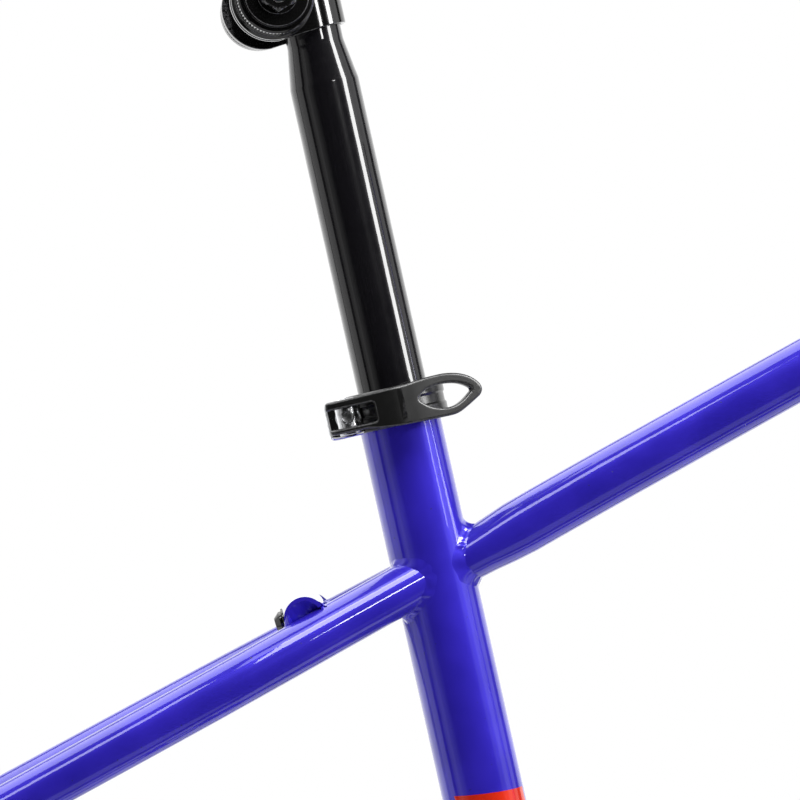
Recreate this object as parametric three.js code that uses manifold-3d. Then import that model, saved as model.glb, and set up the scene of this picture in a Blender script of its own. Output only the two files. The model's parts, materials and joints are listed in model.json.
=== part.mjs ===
// Steel bicycle frame with its seatpost, quick-release clamp, saddle clamp, headset cups and
// bottom bracket. Millimetres. Origin: centre of the bottom bracket. +X forward, +Y to the
// rider's left, +Z up.
import * as THREE from "three";
import { mergeVertices } from "three/addons/utils/BufferGeometryUtils.js";
import Module from "manifold-3d";

const wasm = await Module();
wasm.setup();

// ---- Driving dimensions -------------------------------------------------------------------

const fitGap = 0.3;

const seatTube = { lean: 12.6, length: 337, radius: 15.9, bore: 13.9, slotBottom: 299, slotWidth: 2 };
const topTube = { radius: 11.1, wall: 1.1, seatJointHeight: 264.5, slope: 29.05 };
const downTube = { radius: 15.9, wall: 1.2 };
const headTube = { radius: 18.5, bore: 17, length: 120, angle: 71, jointX: 423, lowerJoint: 30 };
const shell = { radius: 20, bore: 17, halfWidth: 34 };

const axle = { x: -418, z: 32, slotRadius: 5.1 };
const dropout = { innerY: 67.5, thickness: 6, eyeRadius: 15 };
const hanger = { x: -430, z: 4, radius: 9, holeRadius: 5 };
const seatstay = { radius: 9.5, endRadius: 8, wall: 1.1, endX: -397, slope: 0.543, refX: -78.4, refZ: 248 };
const chainstay = { radius: 11.1, endRadius: 8, wall: 1.2, endX: -391, endZ: 29 };
const seatBridge = { x: -107, z: 242.5, radius: 8, wall: 1.6 };
const bridgeBolt = { radius: 2.5, headRadius: 4.3, headHeight: 4.2, tilt: 18 };
const chainBridge = { x: -60, radius: 7, wall: 1.2 };

const post = {
  radius: 13.6, topRadius: 11.1, wall: 2.2,
  bottom: 190, taperStart: 458.6, taperEnd: 474.7, top: 514,
};

const collar = {
  bottom: 323.6, top: 338.7, radius: 19.4, slit: 2.4,
  nearLugY: -11.5, farLugY: 16, lugEnd: -26,
};
const skewer = { v: -19.1, u: 331, radius: 2.5 };
const cam = { pivotY: -21.5, radius: 7.3, offset: 0.6, height: 14, slotHeight: 7.5, windowFront: -8 };
const barrel = { radius: 4.2, height: 13.4 };
const washer = {
  back: -27.7, front: -10.6, bottom: 322.4, top: 338.4, corner: 4, innerFace: 11.8, outerFace: 13.9,
};
const nut = { radius: 8, innerFace: 16.3, outerFace: 24 };

const saddleClamp = { u: 493.5, yaw: 10, boltBehindPost: 15.3, boltRadius: 3.5, bandThickness: 1.9 };
const railGroove = { above: 9.5, height: 8, width: 9 };

const colours = { frame: 0x32289f, black: 0x141418, chrome: 0xc8cacf, steel: 0x8d9096, plastic: 0x1b1b1e };

const overlong = 400;

// ---- Solids -------------------------------------------------------------------------------

const degrees = Math.PI / 180;
const origin = new THREE.Vector3();
const up = new THREE.Vector3(0, 0, 1);

function vector(x, y, z) {
  return new THREE.Vector3(x, y, z);
}

// A closed geometry as a solid: shared vertices merged, empty triangles dropped, faces outward.
function solid(geometry) {
  const plain = geometry.clone();
  plain.deleteAttribute("normal");
  plain.deleteAttribute("uv");
  const merged = mergeVertices(plain, 1e-4);
  const position = merged.attributes.position;
  const triangles = [];
  let volume = 0;
  const corners = [vector(0, 0, 0), vector(0, 0, 0), vector(0, 0, 0)];
  for (let i = 0; i < merged.index.count; i += 3) {
    const [a, b, c] = [0, 1, 2].map((k) => merged.index.getX(i + k));
    if (a === b || b === c || c === a) continue;
    [a, b, c].forEach((id, k) => corners[k].fromBufferAttribute(position, id));
    volume += corners[0].dot(corners[1].clone().cross(corners[2]));
    triangles.push([a, b, c]);
  }
  const ordered = volume > 0 ? triangles : triangles.map(([a, b, c]) => [a, c, b]);
  return new wasm.Manifold(new wasm.Mesh({
    numProp: 3,
    vertProperties: new Float32Array(position.array),
    triVerts: new Uint32Array(ordered.flat()),
  }));
}

function geometryOf(body) {
  const mesh = body.getMesh();
  const geometry = new THREE.BufferGeometry();
  geometry.setAttribute("position", new THREE.BufferAttribute(new Float32Array(mesh.vertProperties), 3));
  geometry.setIndex(new THREE.BufferAttribute(new Uint32Array(mesh.triVerts), 1));
  geometry.computeVertexNormals();
  return geometry;
}

// A profile of [radius, height] pairs turned about +Z.
function turned(profile, segments = 24) {
  const points = profile.map(([radius, height]) => new THREE.Vector2(radius, height));
  return new THREE.LatheGeometry(points, segments).rotateX(Math.PI / 2);
}

// A ring between two radii and two heights about +Z.
function ring(inner, outer, low, high, segments = 24) {
  return turned([[inner, low], [outer, low], [outer, high], [inner, high], [inner, low]], segments);
}

// A ring about the Y axis, as far to the left as to the right.
function ringAcross(inner, outer, halfWidth, segments) {
  return solid(ring(inner, outer, -halfWidth, halfWidth, segments).rotateX(Math.PI / 2));
}

// Turns a geometry that stands along +Z from the origin so that it runs from start towards end.
function aim(geometry, start, end) {
  const direction = end.clone().sub(start).normalize();
  const turn = new THREE.Quaternion().setFromUnitVectors(up, direction);
  return geometry.applyQuaternion(turn).translate(start.x, start.y, start.z);
}

function rod(start, end, radius, segments = 24) {
  const length = start.distanceTo(end);
  const cylinder = new THREE.CylinderGeometry(radius, radius, length, segments).rotateX(Math.PI / 2);
  return aim(cylinder.translate(0, 0, length / 2), start, end);
}

function pipe(start, end, radius, wall, segments = 24) {
  return aim(ring(radius - wall, radius, 0, start.distanceTo(end), segments), start, end);
}

// A rod along Y through [x, z].
function crossRod(x, z, radius, fromY, toY, segments = 24) {
  return rod(vector(x, fromY, z), vector(x, toY, z), radius, segments);
}

function box(x0, x1, y0, y1, z0, z1) {
  const geometry = new THREE.BoxGeometry(x1 - x0, y1 - y0, z1 - z0);
  return geometry.translate((x0 + x1) / 2, (y0 + y1) / 2, (z0 + z1) / 2);
}

// An outline drawn in the X-Z plane as a THREE.Shape, given a thickness along Y.
function plate(shape, fromY, toY, curveSegments = 7) {
  const settings = { depth: toY - fromY, bevelEnabled: false, curveSegments };
  return new THREE.ExtrudeGeometry(shape, settings).rotateX(Math.PI / 2).translate(0, toY, 0);
}

function outline(points) {
  return new THREE.Shape(points.map(([x, z]) => new THREE.Vector2(x, z)));
}

// A tube laid along a curve, or a filled bar where the wall is 0. radiusAt gives the outer radius
// at a share of the curve's length.
function alongCurve(curve, radiusAt, wall, steps, segments) {
  const outer = [];
  const inner = [];
  for (let i = 0; i <= steps; i += 1) {
    const share = i / steps;
    outer.push([radiusAt(share), share]);
    inner.unshift([radiusAt(share) - wall, share]);
  }
  const profile = wall > 0
    ? [...outer, ...inner, outer[0]]
    : [[0, 0], ...outer, [0, 1]];
  const geometry = turned(profile, segments);
  const position = geometry.attributes.position;
  for (let i = 0; i < position.count; i += 1) {
    const share = THREE.MathUtils.clamp(position.getZ(i), 0, 1);
    const along = curve.getTangentAt(share);
    const side = up.clone().cross(along).normalize();
    const rise = along.clone().cross(side);
    const point = curve.getPointAt(share);
    point.addScaledVector(side, position.getX(i)).addScaledVector(rise, position.getY(i));
    position.setXYZ(i, point.x, point.y, point.z);
  }
  return geometry;
}

function curveThrough(points) {
  return new THREE.CatmullRomCurve3(points.map((p) => vector(...p)), false, "centripetal");
}

// ---- The assembly -------------------------------------------------------------------------

const bicycleFrame = new THREE.Group();
const materials = {
  frame: new THREE.MeshStandardMaterial({ color: colours.frame, roughness: 0.16, metalness: 0.35 }),
  black: new THREE.MeshStandardMaterial({ color: colours.black, roughness: 0.25, metalness: 0.5 }),
  chrome: new THREE.MeshStandardMaterial({ color: colours.chrome, roughness: 0.1, metalness: 1 }),
  steel: new THREE.MeshStandardMaterial({ color: colours.steel, roughness: 0.35, metalness: 1 }),
  plastic: new THREE.MeshStandardMaterial({ color: colours.plastic, roughness: 0.5, metalness: 0 }),
};

function add(group, name, body, material) {
  const mesh = new THREE.Mesh(geometryOf(body), materials[material]);
  mesh.name = name;
  group.add(mesh);
  return mesh;
}

// ---- Frame lines in the X-Z plane ---------------------------------------------------------

const seatLean = seatTube.lean * degrees;
const seatUp = vector(-Math.sin(seatLean), 0, Math.cos(seatLean));
const seatJoint = seatUp.clone().multiplyScalar(topTube.seatJointHeight);
const topTubeRise = Math.tan(topTube.slope * degrees);
const headJoint = vector(headTube.jointX, 0, seatJoint.z + (headTube.jointX - seatJoint.x) * topTubeRise);
const headAngle = headTube.angle * degrees;
const headUp = vector(-Math.cos(headAngle), 0, Math.sin(headAngle));
const headTop = headJoint.clone().addScaledVector(headUp, 35);
const headBottom = headTop.clone().addScaledVector(headUp, -headTube.length);
const downJoint = headBottom.clone().addScaledVector(headUp, headTube.lowerJoint);

const seatTubeEnd = seatUp.clone().multiplyScalar(seatTube.length);
const shellBlank = solid(crossRod(0, 0, shell.radius + fitGap, -overlong, overlong, 32));
const seatTubeBlank = solid(rod(origin, seatTubeEnd, seatTube.radius + fitGap, 32));
const headTubeBlank = solid(rod(headBottom, headTop, headTube.radius + fitGap, 32));

// ---- Main tubes ---------------------------------------------------------------------------

function seatTubeBody() {
  const wall = seatTube.radius - seatTube.bore;
  const half = seatTube.slotWidth / 2;
  const slot = box(-seatTube.radius - 2, 0, -half, half, seatTube.slotBottom, seatTube.length + 2);
  const slotEnd = rod(
    vector(-seatTube.radius - 2, 0, seatTube.slotBottom), vector(0, 0, seatTube.slotBottom), half * 2, 16);
  const lean = (geometry) => solid(geometry.rotateY(-seatLean));
  return solid(pipe(origin, seatTubeEnd, seatTube.radius, wall, 32))
    .subtract(shellBlank)
    .subtract(lean(slot))
    .subtract(lean(slotEnd));
}

function topTubeBody() {
  return solid(pipe(seatJoint, headJoint, topTube.radius, topTube.wall, 20))
    .subtract(seatTubeBlank)
    .subtract(headTubeBlank);
}

function downTubeBody() {
  return solid(pipe(origin, downJoint, downTube.radius, downTube.wall, 24))
    .subtract(shellBlank)
    .subtract(seatTubeBlank)
    .subtract(headTubeBlank);
}

add(bicycleFrame, "seat_tube", seatTubeBody(), "frame");
add(bicycleFrame, "top_tube", topTubeBody(), "frame");
add(bicycleFrame, "down_tube", downTubeBody(), "frame");
add(bicycleFrame, "head_tube",
  solid(pipe(headBottom, headTop, headTube.radius, headTube.radius - headTube.bore, 32)), "frame");
add(bicycleFrame, "bottom_bracket_shell",
  ringAcross(shell.bore, shell.radius, shell.halfWidth, 32), "frame");

// ---- Rear triangle ------------------------------------------------------------------------

const seatstayHeight = (x) => seatstay.refZ + seatstay.slope * (x - seatstay.refX);
const chainstayHeight = (x) => chainstay.endZ * (x / chainstay.endX);
const plateMiddle = dropout.innerY + dropout.thickness / 2;

// Side is +1 on the rider's left and -1 on the right. Points are [x, distance from the middle].
const seatstayPlan = [[-55, 3.9], [-86, 15.2], [-118, 26.9], [-134, 32], [-152, 36], [-200, 43], [-300, 57],
  [seatstay.endX, plateMiddle]];
const chainstayPlan = [[0, 17], [-50, 27.5], [-85, 35.5], [-112, 41.3], [-140, 44.5], [-200, 49],
  [-300, 59], [chainstay.endX, plateMiddle]];

function stayCurve(plan, heightAt, side) {
  return curveThrough(plan.map(([x, y]) => [x, side * y, heightAt(x)]));
}

function staySolid(curve, size, wall, extra = 0) {
  const radiusAt = (share) => size.radius + extra + (size.endRadius - size.radius) * share ** 2;
  return solid(alongCurve(curve, radiusAt, wall, 10, 12));
}

// The plate reaches from the axle slot to the ends of both stays.
function dropoutOutline(side) {
  const edge = 0.9;
  const halfArm = 7.4;
  const rearward = vector(-1, 0, -seatstay.slope).normalize();
  const seatEnd = vector(seatstay.endX, 0, seatstayHeight(seatstay.endX)).addScaledVector(rearward, edge);
  const across = vector(rearward.z, 0, -rearward.x).multiplyScalar(halfArm);
  const chainEndX = chainstay.endX - edge;
  const mouth = axle.z - 16;
  const shape = new THREE.Shape();
  shape.moveTo(axle.x - axle.slotRadius, mouth);
  shape.lineTo(axle.x - axle.slotRadius, axle.z);
  shape.absarc(axle.x, axle.z, axle.slotRadius, Math.PI, 0, true);
  shape.lineTo(axle.x + axle.slotRadius, mouth);
  shape.lineTo(axle.x + 13, mouth + 2);
  shape.lineTo(chainEndX, chainstay.endZ - halfArm);
  shape.lineTo(chainEndX, chainstay.endZ + halfArm);
  shape.quadraticCurveTo(axle.x + 15, axle.z + 12, seatEnd.x - across.x, seatEnd.z - across.z);
  shape.lineTo(seatEnd.x + across.x, seatEnd.z + across.z);
  shape.quadraticCurveTo(axle.x - 12, axle.z + 24, axle.x - dropout.eyeRadius, axle.z + 2);
  if (side < 0) {
    shape.lineTo(axle.x - 17, axle.z - 12);
    shape.lineTo(hanger.x - hanger.radius, hanger.z + 2);
    shape.absarc(hanger.x, hanger.z, hanger.radius, Math.PI, Math.PI * 1.75, false);
    shape.lineTo(axle.x - axle.slotRadius - 1.5, mouth - 6);
  } else {
    shape.quadraticCurveTo(axle.x - dropout.eyeRadius, axle.z - 12, axle.x - 9, mouth);
  }
  return shape;
}

function dropoutBody(side) {
  const near = side * dropout.innerY;
  const far = side * (dropout.innerY + dropout.thickness);
  const [low, high] = near < far ? [near, far] : [far, near];
  const body = solid(plate(dropoutOutline(side), low, high));
  const hangerHole = solid(crossRod(hanger.x, hanger.z, hanger.holeRadius, low - 1, high + 1, 20));
  return side < 0 ? body.subtract(hangerHole) : body;
}

for (const [word, side] of [["left", 1], ["right", -1]]) {
  const upper = staySolid(stayCurve(seatstayPlan, seatstayHeight, side), seatstay, seatstay.wall);
  const lower = staySolid(stayCurve(chainstayPlan, chainstayHeight, side), chainstay, chainstay.wall);
  add(bicycleFrame, `seatstay_${word}`, upper.subtract(seatTubeBlank), "frame");
  add(bicycleFrame, `chainstay_${word}`, lower.subtract(shellBlank), "frame");
  add(bicycleFrame, `dropout_${word}`, dropoutBody(side), "frame");
}

// A bridge runs across between the two stays, cut to their outsides.
function bridge(x, size, plan, heightAt, staySize, z = heightAt(x)) {
  let body = solid(pipe(vector(x, -40, z), vector(x, 40, z), size.radius, size.wall, 16));
  for (const side of [1, -1]) {
    const curve = stayCurve(plan, heightAt, side);
    const spot = plan.findIndex(([planX]) => planX < x);
    const share = (x - plan[spot - 1][0]) / (plan[spot][0] - plan[spot - 1][0]);
    const stayY = plan[spot - 1][1] + share * (plan[spot][1] - plan[spot - 1][1]);
    const [low, high] = side > 0 ? [stayY, 60] : [-60, -stayY];
    body = body.subtract(staySolid(curve, staySize, 0, fitGap))
      .subtract(solid(box(x - 30, x + 30, low, high, z - 30, z + 30)));
  }
  return body;
}

// A button-head bolt screwed into the rear of the seat stay bridge, where a mudguard would go.
const boltAxis = vector(-Math.cos(bridgeBolt.tilt * degrees), 0, -Math.sin(bridgeBolt.tilt * degrees));
const bridgeMiddle = vector(seatBridge.x, 0, seatBridge.z);

function alongBolt(distance) {
  return bridgeMiddle.clone().addScaledVector(boltAxis, distance);
}

function boltBody() {
  const seat = seatBridge.radius + fitGap;
  const stem = rod(alongBolt(2), alongBolt(seat + 1), bridgeBolt.radius, 14);
  const head = rod(alongBolt(seat), alongBolt(seat + bridgeBolt.headHeight), bridgeBolt.headRadius, 20);
  return solid(head).add(solid(stem));
}

function seatstayBridgeBody() {
  const boltHole = rod(alongBolt(2), alongBolt(20), bridgeBolt.radius + fitGap, 14);
  return bridge(seatBridge.x, seatBridge, seatstayPlan, seatstayHeight, seatstay, seatBridge.z)
    .subtract(solid(boltHole));
}

add(bicycleFrame, "seatstay_bridge", seatstayBridgeBody(), "frame");
add(bicycleFrame, "bridge_bolt", boltBody(), "black");
add(bicycleFrame, "chainstay_bridge",
  bridge(chainBridge.x, chainBridge, chainstayPlan, chainstayHeight, chainstay), "frame");

// Disc-brake tab: a plate on the top of the left seat stay with two holes 51 mm apart.
function discTab() {
  const along = vector(1, 0, seatstay.slope).normalize();
  const across = vector(-along.z, 0, along.x);
  const start = vector(-393, 0, seatstayHeight(-393));
  const at = (s, t) => {
    const p = start.clone().addScaledVector(along, s).addScaledVector(across, t);
    return [p.x, p.z];
  };
  const shape = outline([
    at(0, 0), at(74, 0), at(72, 12), at(66, 25), at(56, 27),
    at(40, 20), at(26, 20), at(12, 27), at(2, 25), at(-2, 12),
  ]);
  let tab = solid(plate(shape, plateMiddle - 9, plateMiddle - 4));
  for (const s of [7.5, 58.5]) {
    const [x, z] = at(s, 19);
    tab = tab.subtract(solid(crossRod(x, z, 3.1, plateMiddle - 12, plateMiddle, 16)));
  }
  return tab
    .subtract(staySolid(stayCurve(seatstayPlan, seatstayHeight, 1), seatstay, 0, fitGap))
    .subtract(solid(box(-500, 0, 0, 90, -10, seatstayHeight(-393) - 14)));
}

add(bicycleFrame, "disc_brake_tab", discTab(), "frame");

// ---- Fittings on the down tube and shell --------------------------------------------------

const downLine = downJoint.clone().normalize();
const downOut = vector(-downLine.z, 0, downLine.x);
const downBlank = solid(rod(origin, downJoint, downTube.radius + fitGap, 32));

function onDownTube(distance, offset, y = 0) {
  const point = downLine.clone().multiplyScalar(distance).addScaledVector(downOut, offset);
  point.y = y;
  return point;
}

// Threaded bottle-cage bosses on the upper side of the down tube, 64 mm apart.
function bottleBoss(distance) {
  const base = onDownTube(distance, 8);
  const top = onDownTube(distance, downTube.radius + 3);
  return solid(pipe(base, top, 5, 2.6, 14)).subtract(downBlank);
}

add(bicycleFrame, "bottle_boss_lower", bottleBoss(230), "steel");
add(bicycleFrame, "bottle_boss_upper", bottleBoss(294), "steel");

// Slotted cable stops on the two sides of the down tube, near the head tube.
function cableStop(side) {
  const low = onDownTube(500, -6, side * (downTube.radius + 1));
  const high = onDownTube(514, -6, side * (downTube.radius + 1));
  return solid(pipe(low, high, 4, 1.8, 12)).subtract(downBlank);
}

add(bicycleFrame, "cable_stop_left", cableStop(1), "frame");
add(bicycleFrame, "cable_stop_right", cableStop(-1), "frame");

// The plastic guide screwed under the bottom bracket shell, with two grooves for bare cables.
function shellGuide() {
  let body = solid(box(-11, 11, -14, 14, -25, -12)).subtract(shellBlank);
  for (const y of [-7.5, 7.5]) {
    body = body.subtract(solid(rod(vector(-20, y, -25.2), vector(20, y, -25.2), 1.8, 12)));
  }
  return body.subtract(solid(rod(vector(0, 0, -40), vector(0, 0, -5), 2.8, 16)));
}

function guideScrew() {
  const stem = solid(rod(vector(0, 0, -26), vector(0, 0, -21), 2.4, 16));
  const head = solid(rod(vector(0, 0, -28), vector(0, 0, -25.4), 4.2, 20));
  return stem.add(head);
}

add(bicycleFrame, "bb_cable_guide", shellGuide(), "plastic");
add(bicycleFrame, "bb_guide_screw", guideScrew(), "steel");

// ---- Headset ------------------------------------------------------------------------------

// Profile of a pressed cup, with height 0 at the end face of the head tube.
const cupProfile = [
  [14.8, -12], [16.7, -12], [16.7, 0.3], [20, 0.3], [21.5, 3], [21.5, 12], [18.2, 12], [18.2, 4],
  [14.8, 4], [14.8, -12],
];

for (const [word, place, outward] of [["upper", headTop, 1], ["lower", headBottom, -1]]) {
  const tip = place.clone().addScaledVector(headUp, outward * 30);
  add(bicycleFrame, `headset_${word}_cup`, solid(aim(turned(cupProfile, 28), place, tip)), "black");
  const bearing = ring(15.2, 17.9, 4.3, 11.4, 28);
  add(bicycleFrame, `headset_${word}_bearing`, solid(aim(bearing, place, tip)), "steel");
}

// ---- Bottom bracket cartridge -------------------------------------------------------------

const cupSkirtEnd = 22;
const bbCupProfile = [
  [15.4, cupSkirtEnd], [16.7, cupSkirtEnd], [16.7, 34.3], [20, 34.3], [20, 36.6], [11, 36.6],
  [11, 34.6], [15.4, 34.6], [15.4, cupSkirtEnd],
];

for (const [word, turn] of [["left", -Math.PI / 2], ["right", Math.PI / 2]]) {
  add(bicycleFrame, `bb_cup_${word}`, solid(turned(bbCupProfile, 24).rotateX(turn)), "black");
  add(bicycleFrame, `bb_bearing_${word}`, solid(ring(8.8, 15.1, 26, 34.3, 20).rotateX(turn)), "steel");
}
add(bicycleFrame, "bb_sleeve", ringAcross(13, 16.7, cupSkirtEnd - fitGap, 20), "steel");

function spindle() {
  let body = solid(crossRod(0, 0, 8.4, -38, 38, 24));
  for (const side of [1, -1]) {
    const taper = new THREE.CylinderGeometry(8.3, 9, 22, 4).rotateY(Math.PI / 4).translate(0, 46, 0);
    body = body.add(solid(side > 0 ? taper : taper.rotateX(Math.PI)));
  }
  return body;
}

add(bicycleFrame, "bb_spindle", spindle(), "steel");

// ---- Seat clamp, in the seat tube's own axes ----------------------------------------------
// Inside this group X runs forward across the tube, and Z runs up along it.

// A rod along the seat tube's axis, or along a line beside it.
function uprightRod(radius, low, high, segments, x = 0, y = 0) {
  return solid(rod(vector(x, y, low), vector(x, y, high), radius, segments));
}

// A rod along the skewer's axis.
function skewerRod(radius, fromY, toY, segments = 14) {
  return solid(crossRod(skewer.v, skewer.u, radius, fromY, toY, segments));
}

const skewerHoleRadius = skewer.radius + fitGap;

const seatGroup = new THREE.Group();
seatGroup.rotation.y = -seatLean;
bicycleFrame.add(seatGroup);

function collarBody() {
  const middle = (collar.bottom + collar.top) / 2;
  const band = solid(ring(seatTube.radius + fitGap, collar.radius, collar.bottom, collar.top, 32));
  const seat = seatTube.length + fitGap;
  const lip = solid(ring(post.radius + fitGap, collar.radius - 0.5, seat, collar.top, 32));
  const lugHalf = (collar.top - collar.bottom) / 2 - 0.8;
  const lugShape = new THREE.Shape();
  lugShape.moveTo(-13, middle - lugHalf);
  lugShape.lineTo(-13, middle + lugHalf);
  lugShape.lineTo(collar.lugEnd + 5, middle + lugHalf);
  lugShape.quadraticCurveTo(collar.lugEnd, middle + lugHalf, collar.lugEnd, middle + lugHalf - 5);
  lugShape.lineTo(collar.lugEnd, middle - lugHalf + 5);
  lugShape.quadraticCurveTo(collar.lugEnd, middle - lugHalf, collar.lugEnd + 5, middle - lugHalf);
  const lugs = solid(plate(lugShape, collar.nearLugY, collar.farLugY, 6));
  const halfSlit = collar.slit / 2;
  const slit = box(collar.lugEnd - 5, 0, -halfSlit, halfSlit, collar.bottom - 5, collar.top + 5);
  return band.add(lip).add(lugs)
    .subtract(uprightRod(seatTube.radius + fitGap, 300, seat, 32))
    .subtract(uprightRod(post.radius + fitGap, 300, 360, 32))
    .subtract(solid(slit))
    .subtract(skewerRod(skewerHoleRadius, -30, 30));
}

// The washer under the cam is dished to the cam's radius and relieved beside the collar's band.
function camWasher() {
  const dishRadius = cam.radius + cam.offset + 0.4;
  const { back, front, bottom, top, corner } = washer;
  const shape = new THREE.Shape();
  shape.moveTo(back + corner, bottom);
  shape.lineTo(front - corner, bottom);
  shape.quadraticCurveTo(front, bottom, front, bottom + corner);
  shape.lineTo(front, top - corner);
  shape.quadraticCurveTo(front, top, front - corner, top);
  shape.lineTo(back + corner, top);
  shape.quadraticCurveTo(back, top, back, top - corner);
  shape.lineTo(back, bottom + corner);
  shape.quadraticCurveTo(back, bottom, back + corner, bottom);
  return solid(plate(shape, -washer.outerFace, -washer.innerFace, 5))
    .subtract(uprightRod(dishRadius, skewer.u - 20, skewer.u + 20, 24, skewer.v, cam.pivotY))
    .subtract(uprightRod(collar.radius + fitGap, 300, 360, 40))
    .subtract(skewerRod(skewerHoleRadius, -30, 0));
}

function adjustingNut() {
  return skewerRod(nut.radius, nut.innerFace, nut.outerFace, 24)
    .subtract(skewerRod(skewerHoleRadius, nut.innerFace - 5, nut.outerFace - 1.5));
}

function pivotBarrel() {
  const half = barrel.height / 2;
  return uprightRod(barrel.radius, skewer.u - half, skewer.u + half, 20, skewer.v, cam.pivotY)
    .subtract(skewerRod(skewerHoleRadius, cam.pivotY - 10, cam.pivotY + 10));
}

// Blade of the lever: a strip that follows a curve in the X-Y plane, trimmed to its side outline.
const bladeCurve = curveThrough([
  [skewer.v, -26.9, 0], [-10, -26.9, 0], [0, -26.9, 0], [4, -26, 0], [8, -24.4, 0], [20, -18.6, 0],
  [36, -10.8, 0],
]);
const bladeThickness = 3.4;

function bladeStrip() {
  const settings = { steps: 14, extrudePath: bladeCurve, bevelEnabled: false };
  const half = bladeThickness / 2;
  const section = outline([[-16, -half], [16, -half], [16, half], [-16, half]]);
  return new THREE.ExtrudeGeometry(section, settings).translate(0, 0, skewer.u);
}

function leverOutline() {
  const shape = new THREE.Shape();
  shape.moveTo(-26.2, 324.1);
  shape.lineTo(-26.2, 337.9);
  shape.quadraticCurveTo(-4, 338.2, 5, 338.6);
  shape.quadraticCurveTo(13, 339.7, 19.5, 339.5);
  shape.quadraticCurveTo(28.5, 338.8, 32.4, 333.4);
  shape.quadraticCurveTo(34.4, 330.3, 31.6, 328.1);
  shape.quadraticCurveTo(27, 325.4, 24.4, 324.2);
  shape.quadraticCurveTo(22.2, 323, 18.5, 323.1);
  shape.quadraticCurveTo(11, 323.2, 4, 323.4);
  shape.quadraticCurveTo(-8, 324, -26.2, 324.1);
  return shape;
}

// The pointed finger hole near the lever's tip.
function leverHole() {
  const shape = new THREE.Shape();
  shape.moveTo(9, 332.6);
  shape.quadraticCurveTo(11.5, 335.8, 18.4, 335.6);
  shape.quadraticCurveTo(25, 335.4, 28.6, 332);
  shape.quadraticCurveTo(29.4, 330.9, 28, 330.2);
  shape.quadraticCurveTo(23.5, 326.4, 19.5, 326.4);
  shape.quadraticCurveTo(13, 326.8, 9.2, 331);
  shape.quadraticCurveTo(8.6, 331.8, 9, 332.6);
  return shape;
}

function leverBody() {
  const low = skewer.u - cam.height / 2;
  const high = skewer.u + cam.height / 2;
  const round = uprightRod(cam.radius, low, high, 24, skewer.v, cam.pivotY + cam.offset);
  const blade = solid(bladeStrip())
    .intersect(solid(plate(leverOutline(), -40, 0, 5)))
    .subtract(solid(plate(leverHole(), -50, 10, 4)));
  const barrelHole = uprightRod(barrel.radius + fitGap, 300, 360, 20, skewer.v, cam.pivotY);
  const slotHalf = cam.slotHeight / 2;
  const slot = box(-60, cam.windowFront, -60, 0, skewer.u - slotHalf, skewer.u + slotHalf);
  const web = box(skewer.v, cam.windowFront + 3, -27, cam.pivotY + 1, low, high);
  return round.add(blade).add(solid(web)).subtract(barrelHole).subtract(solid(slot));
}

add(seatGroup, "seat_clamp_collar", collarBody(), "black");
add(seatGroup, "seat_clamp_cam_washer", camWasher(), "chrome");
add(seatGroup, "seat_clamp_skewer",
  skewerRod(skewer.radius, cam.pivotY - barrel.radius + 0.3, nut.outerFace - 2, 20), "chrome");
add(seatGroup, "seat_clamp_barrel", pivotBarrel(), "chrome");
add(seatGroup, "seat_clamp_nut", adjustingNut(), "chrome");
add(seatGroup, "seat_clamp_lever", leverBody(), "black");

// ---- Seatpost -----------------------------------------------------------------------------

const postProfile = [
  [post.radius - post.wall, post.bottom], [post.radius, post.bottom], [post.radius, post.taperStart],
  [post.topRadius, post.taperEnd], [post.topRadius, post.top], [post.topRadius - post.wall, post.top],
  [post.topRadius - post.wall, post.taperEnd], [post.radius - post.wall, post.taperStart],
  [post.radius - post.wall, post.bottom],
];
add(seatGroup, "seatpost", solid(turned(postProfile, 32)), "black");

// ---- Saddle clamp, yawed about the post ---------------------------------------------------
// Inside this group the origin is on the post's axis, level with the clamp bolt.

const clampGroup = new THREE.Group();
clampGroup.position.z = saddleClamp.u;
clampGroup.rotation.z = saddleClamp.yaw * degrees;
seatGroup.add(clampGroup);

const bandInner = post.topRadius + fitGap;
const bandOuter = bandInner + saddleClamp.bandThickness;
const bolt = -saddleClamp.boltBehindPost;
const discRadius = 16;

// The strap wraps the front of the post and runs back to two round cheeks.
function strapBody() {
  const reach = bolt - discRadius - 4;
  const wrap = solid(rod(vector(0, 0, -discRadius), vector(0, 0, discRadius), bandOuter, 28))
    .add(solid(box(reach, 0, -bandOuter, bandOuter, -discRadius, discRadius)));
  const hollow = solid(rod(vector(0, 0, -40), vector(0, 0, 40), bandInner, 28))
    .add(solid(box(reach - 5, 0, -bandInner, bandInner, -40, 40)));
  const front = outline([[bolt, -15.9], [bolt, 15.9], [bandOuter + 1, 12.5], [bandOuter + 1, -13]]);
  const side = solid(crossRod(bolt, 0, discRadius, -30, 30, 28)).add(solid(plate(front, -30, 30)));
  const boltHole = crossRod(bolt, 0, saddleClamp.boltRadius + fitGap, -30, 30, 14);
  return wrap.subtract(hollow).intersect(side).subtract(solid(boltHole));
}

add(clampGroup, "saddle_clamp_strap", strapBody(), "black");

// The cups, bolt and nuts tilt together about the bolt; their grooves lie level at rest.
const tiltGroup = new THREE.Group();
tiltGroup.position.x = bolt;
tiltGroup.rotation.y = seatLean;
clampGroup.add(tiltGroup);

const cupStart = bandOuter + fitGap;
const railMiddle = 22.4;
const innerCupEnd = railMiddle - 0.6;
const outerCupStart = railMiddle + 0.6;

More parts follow.
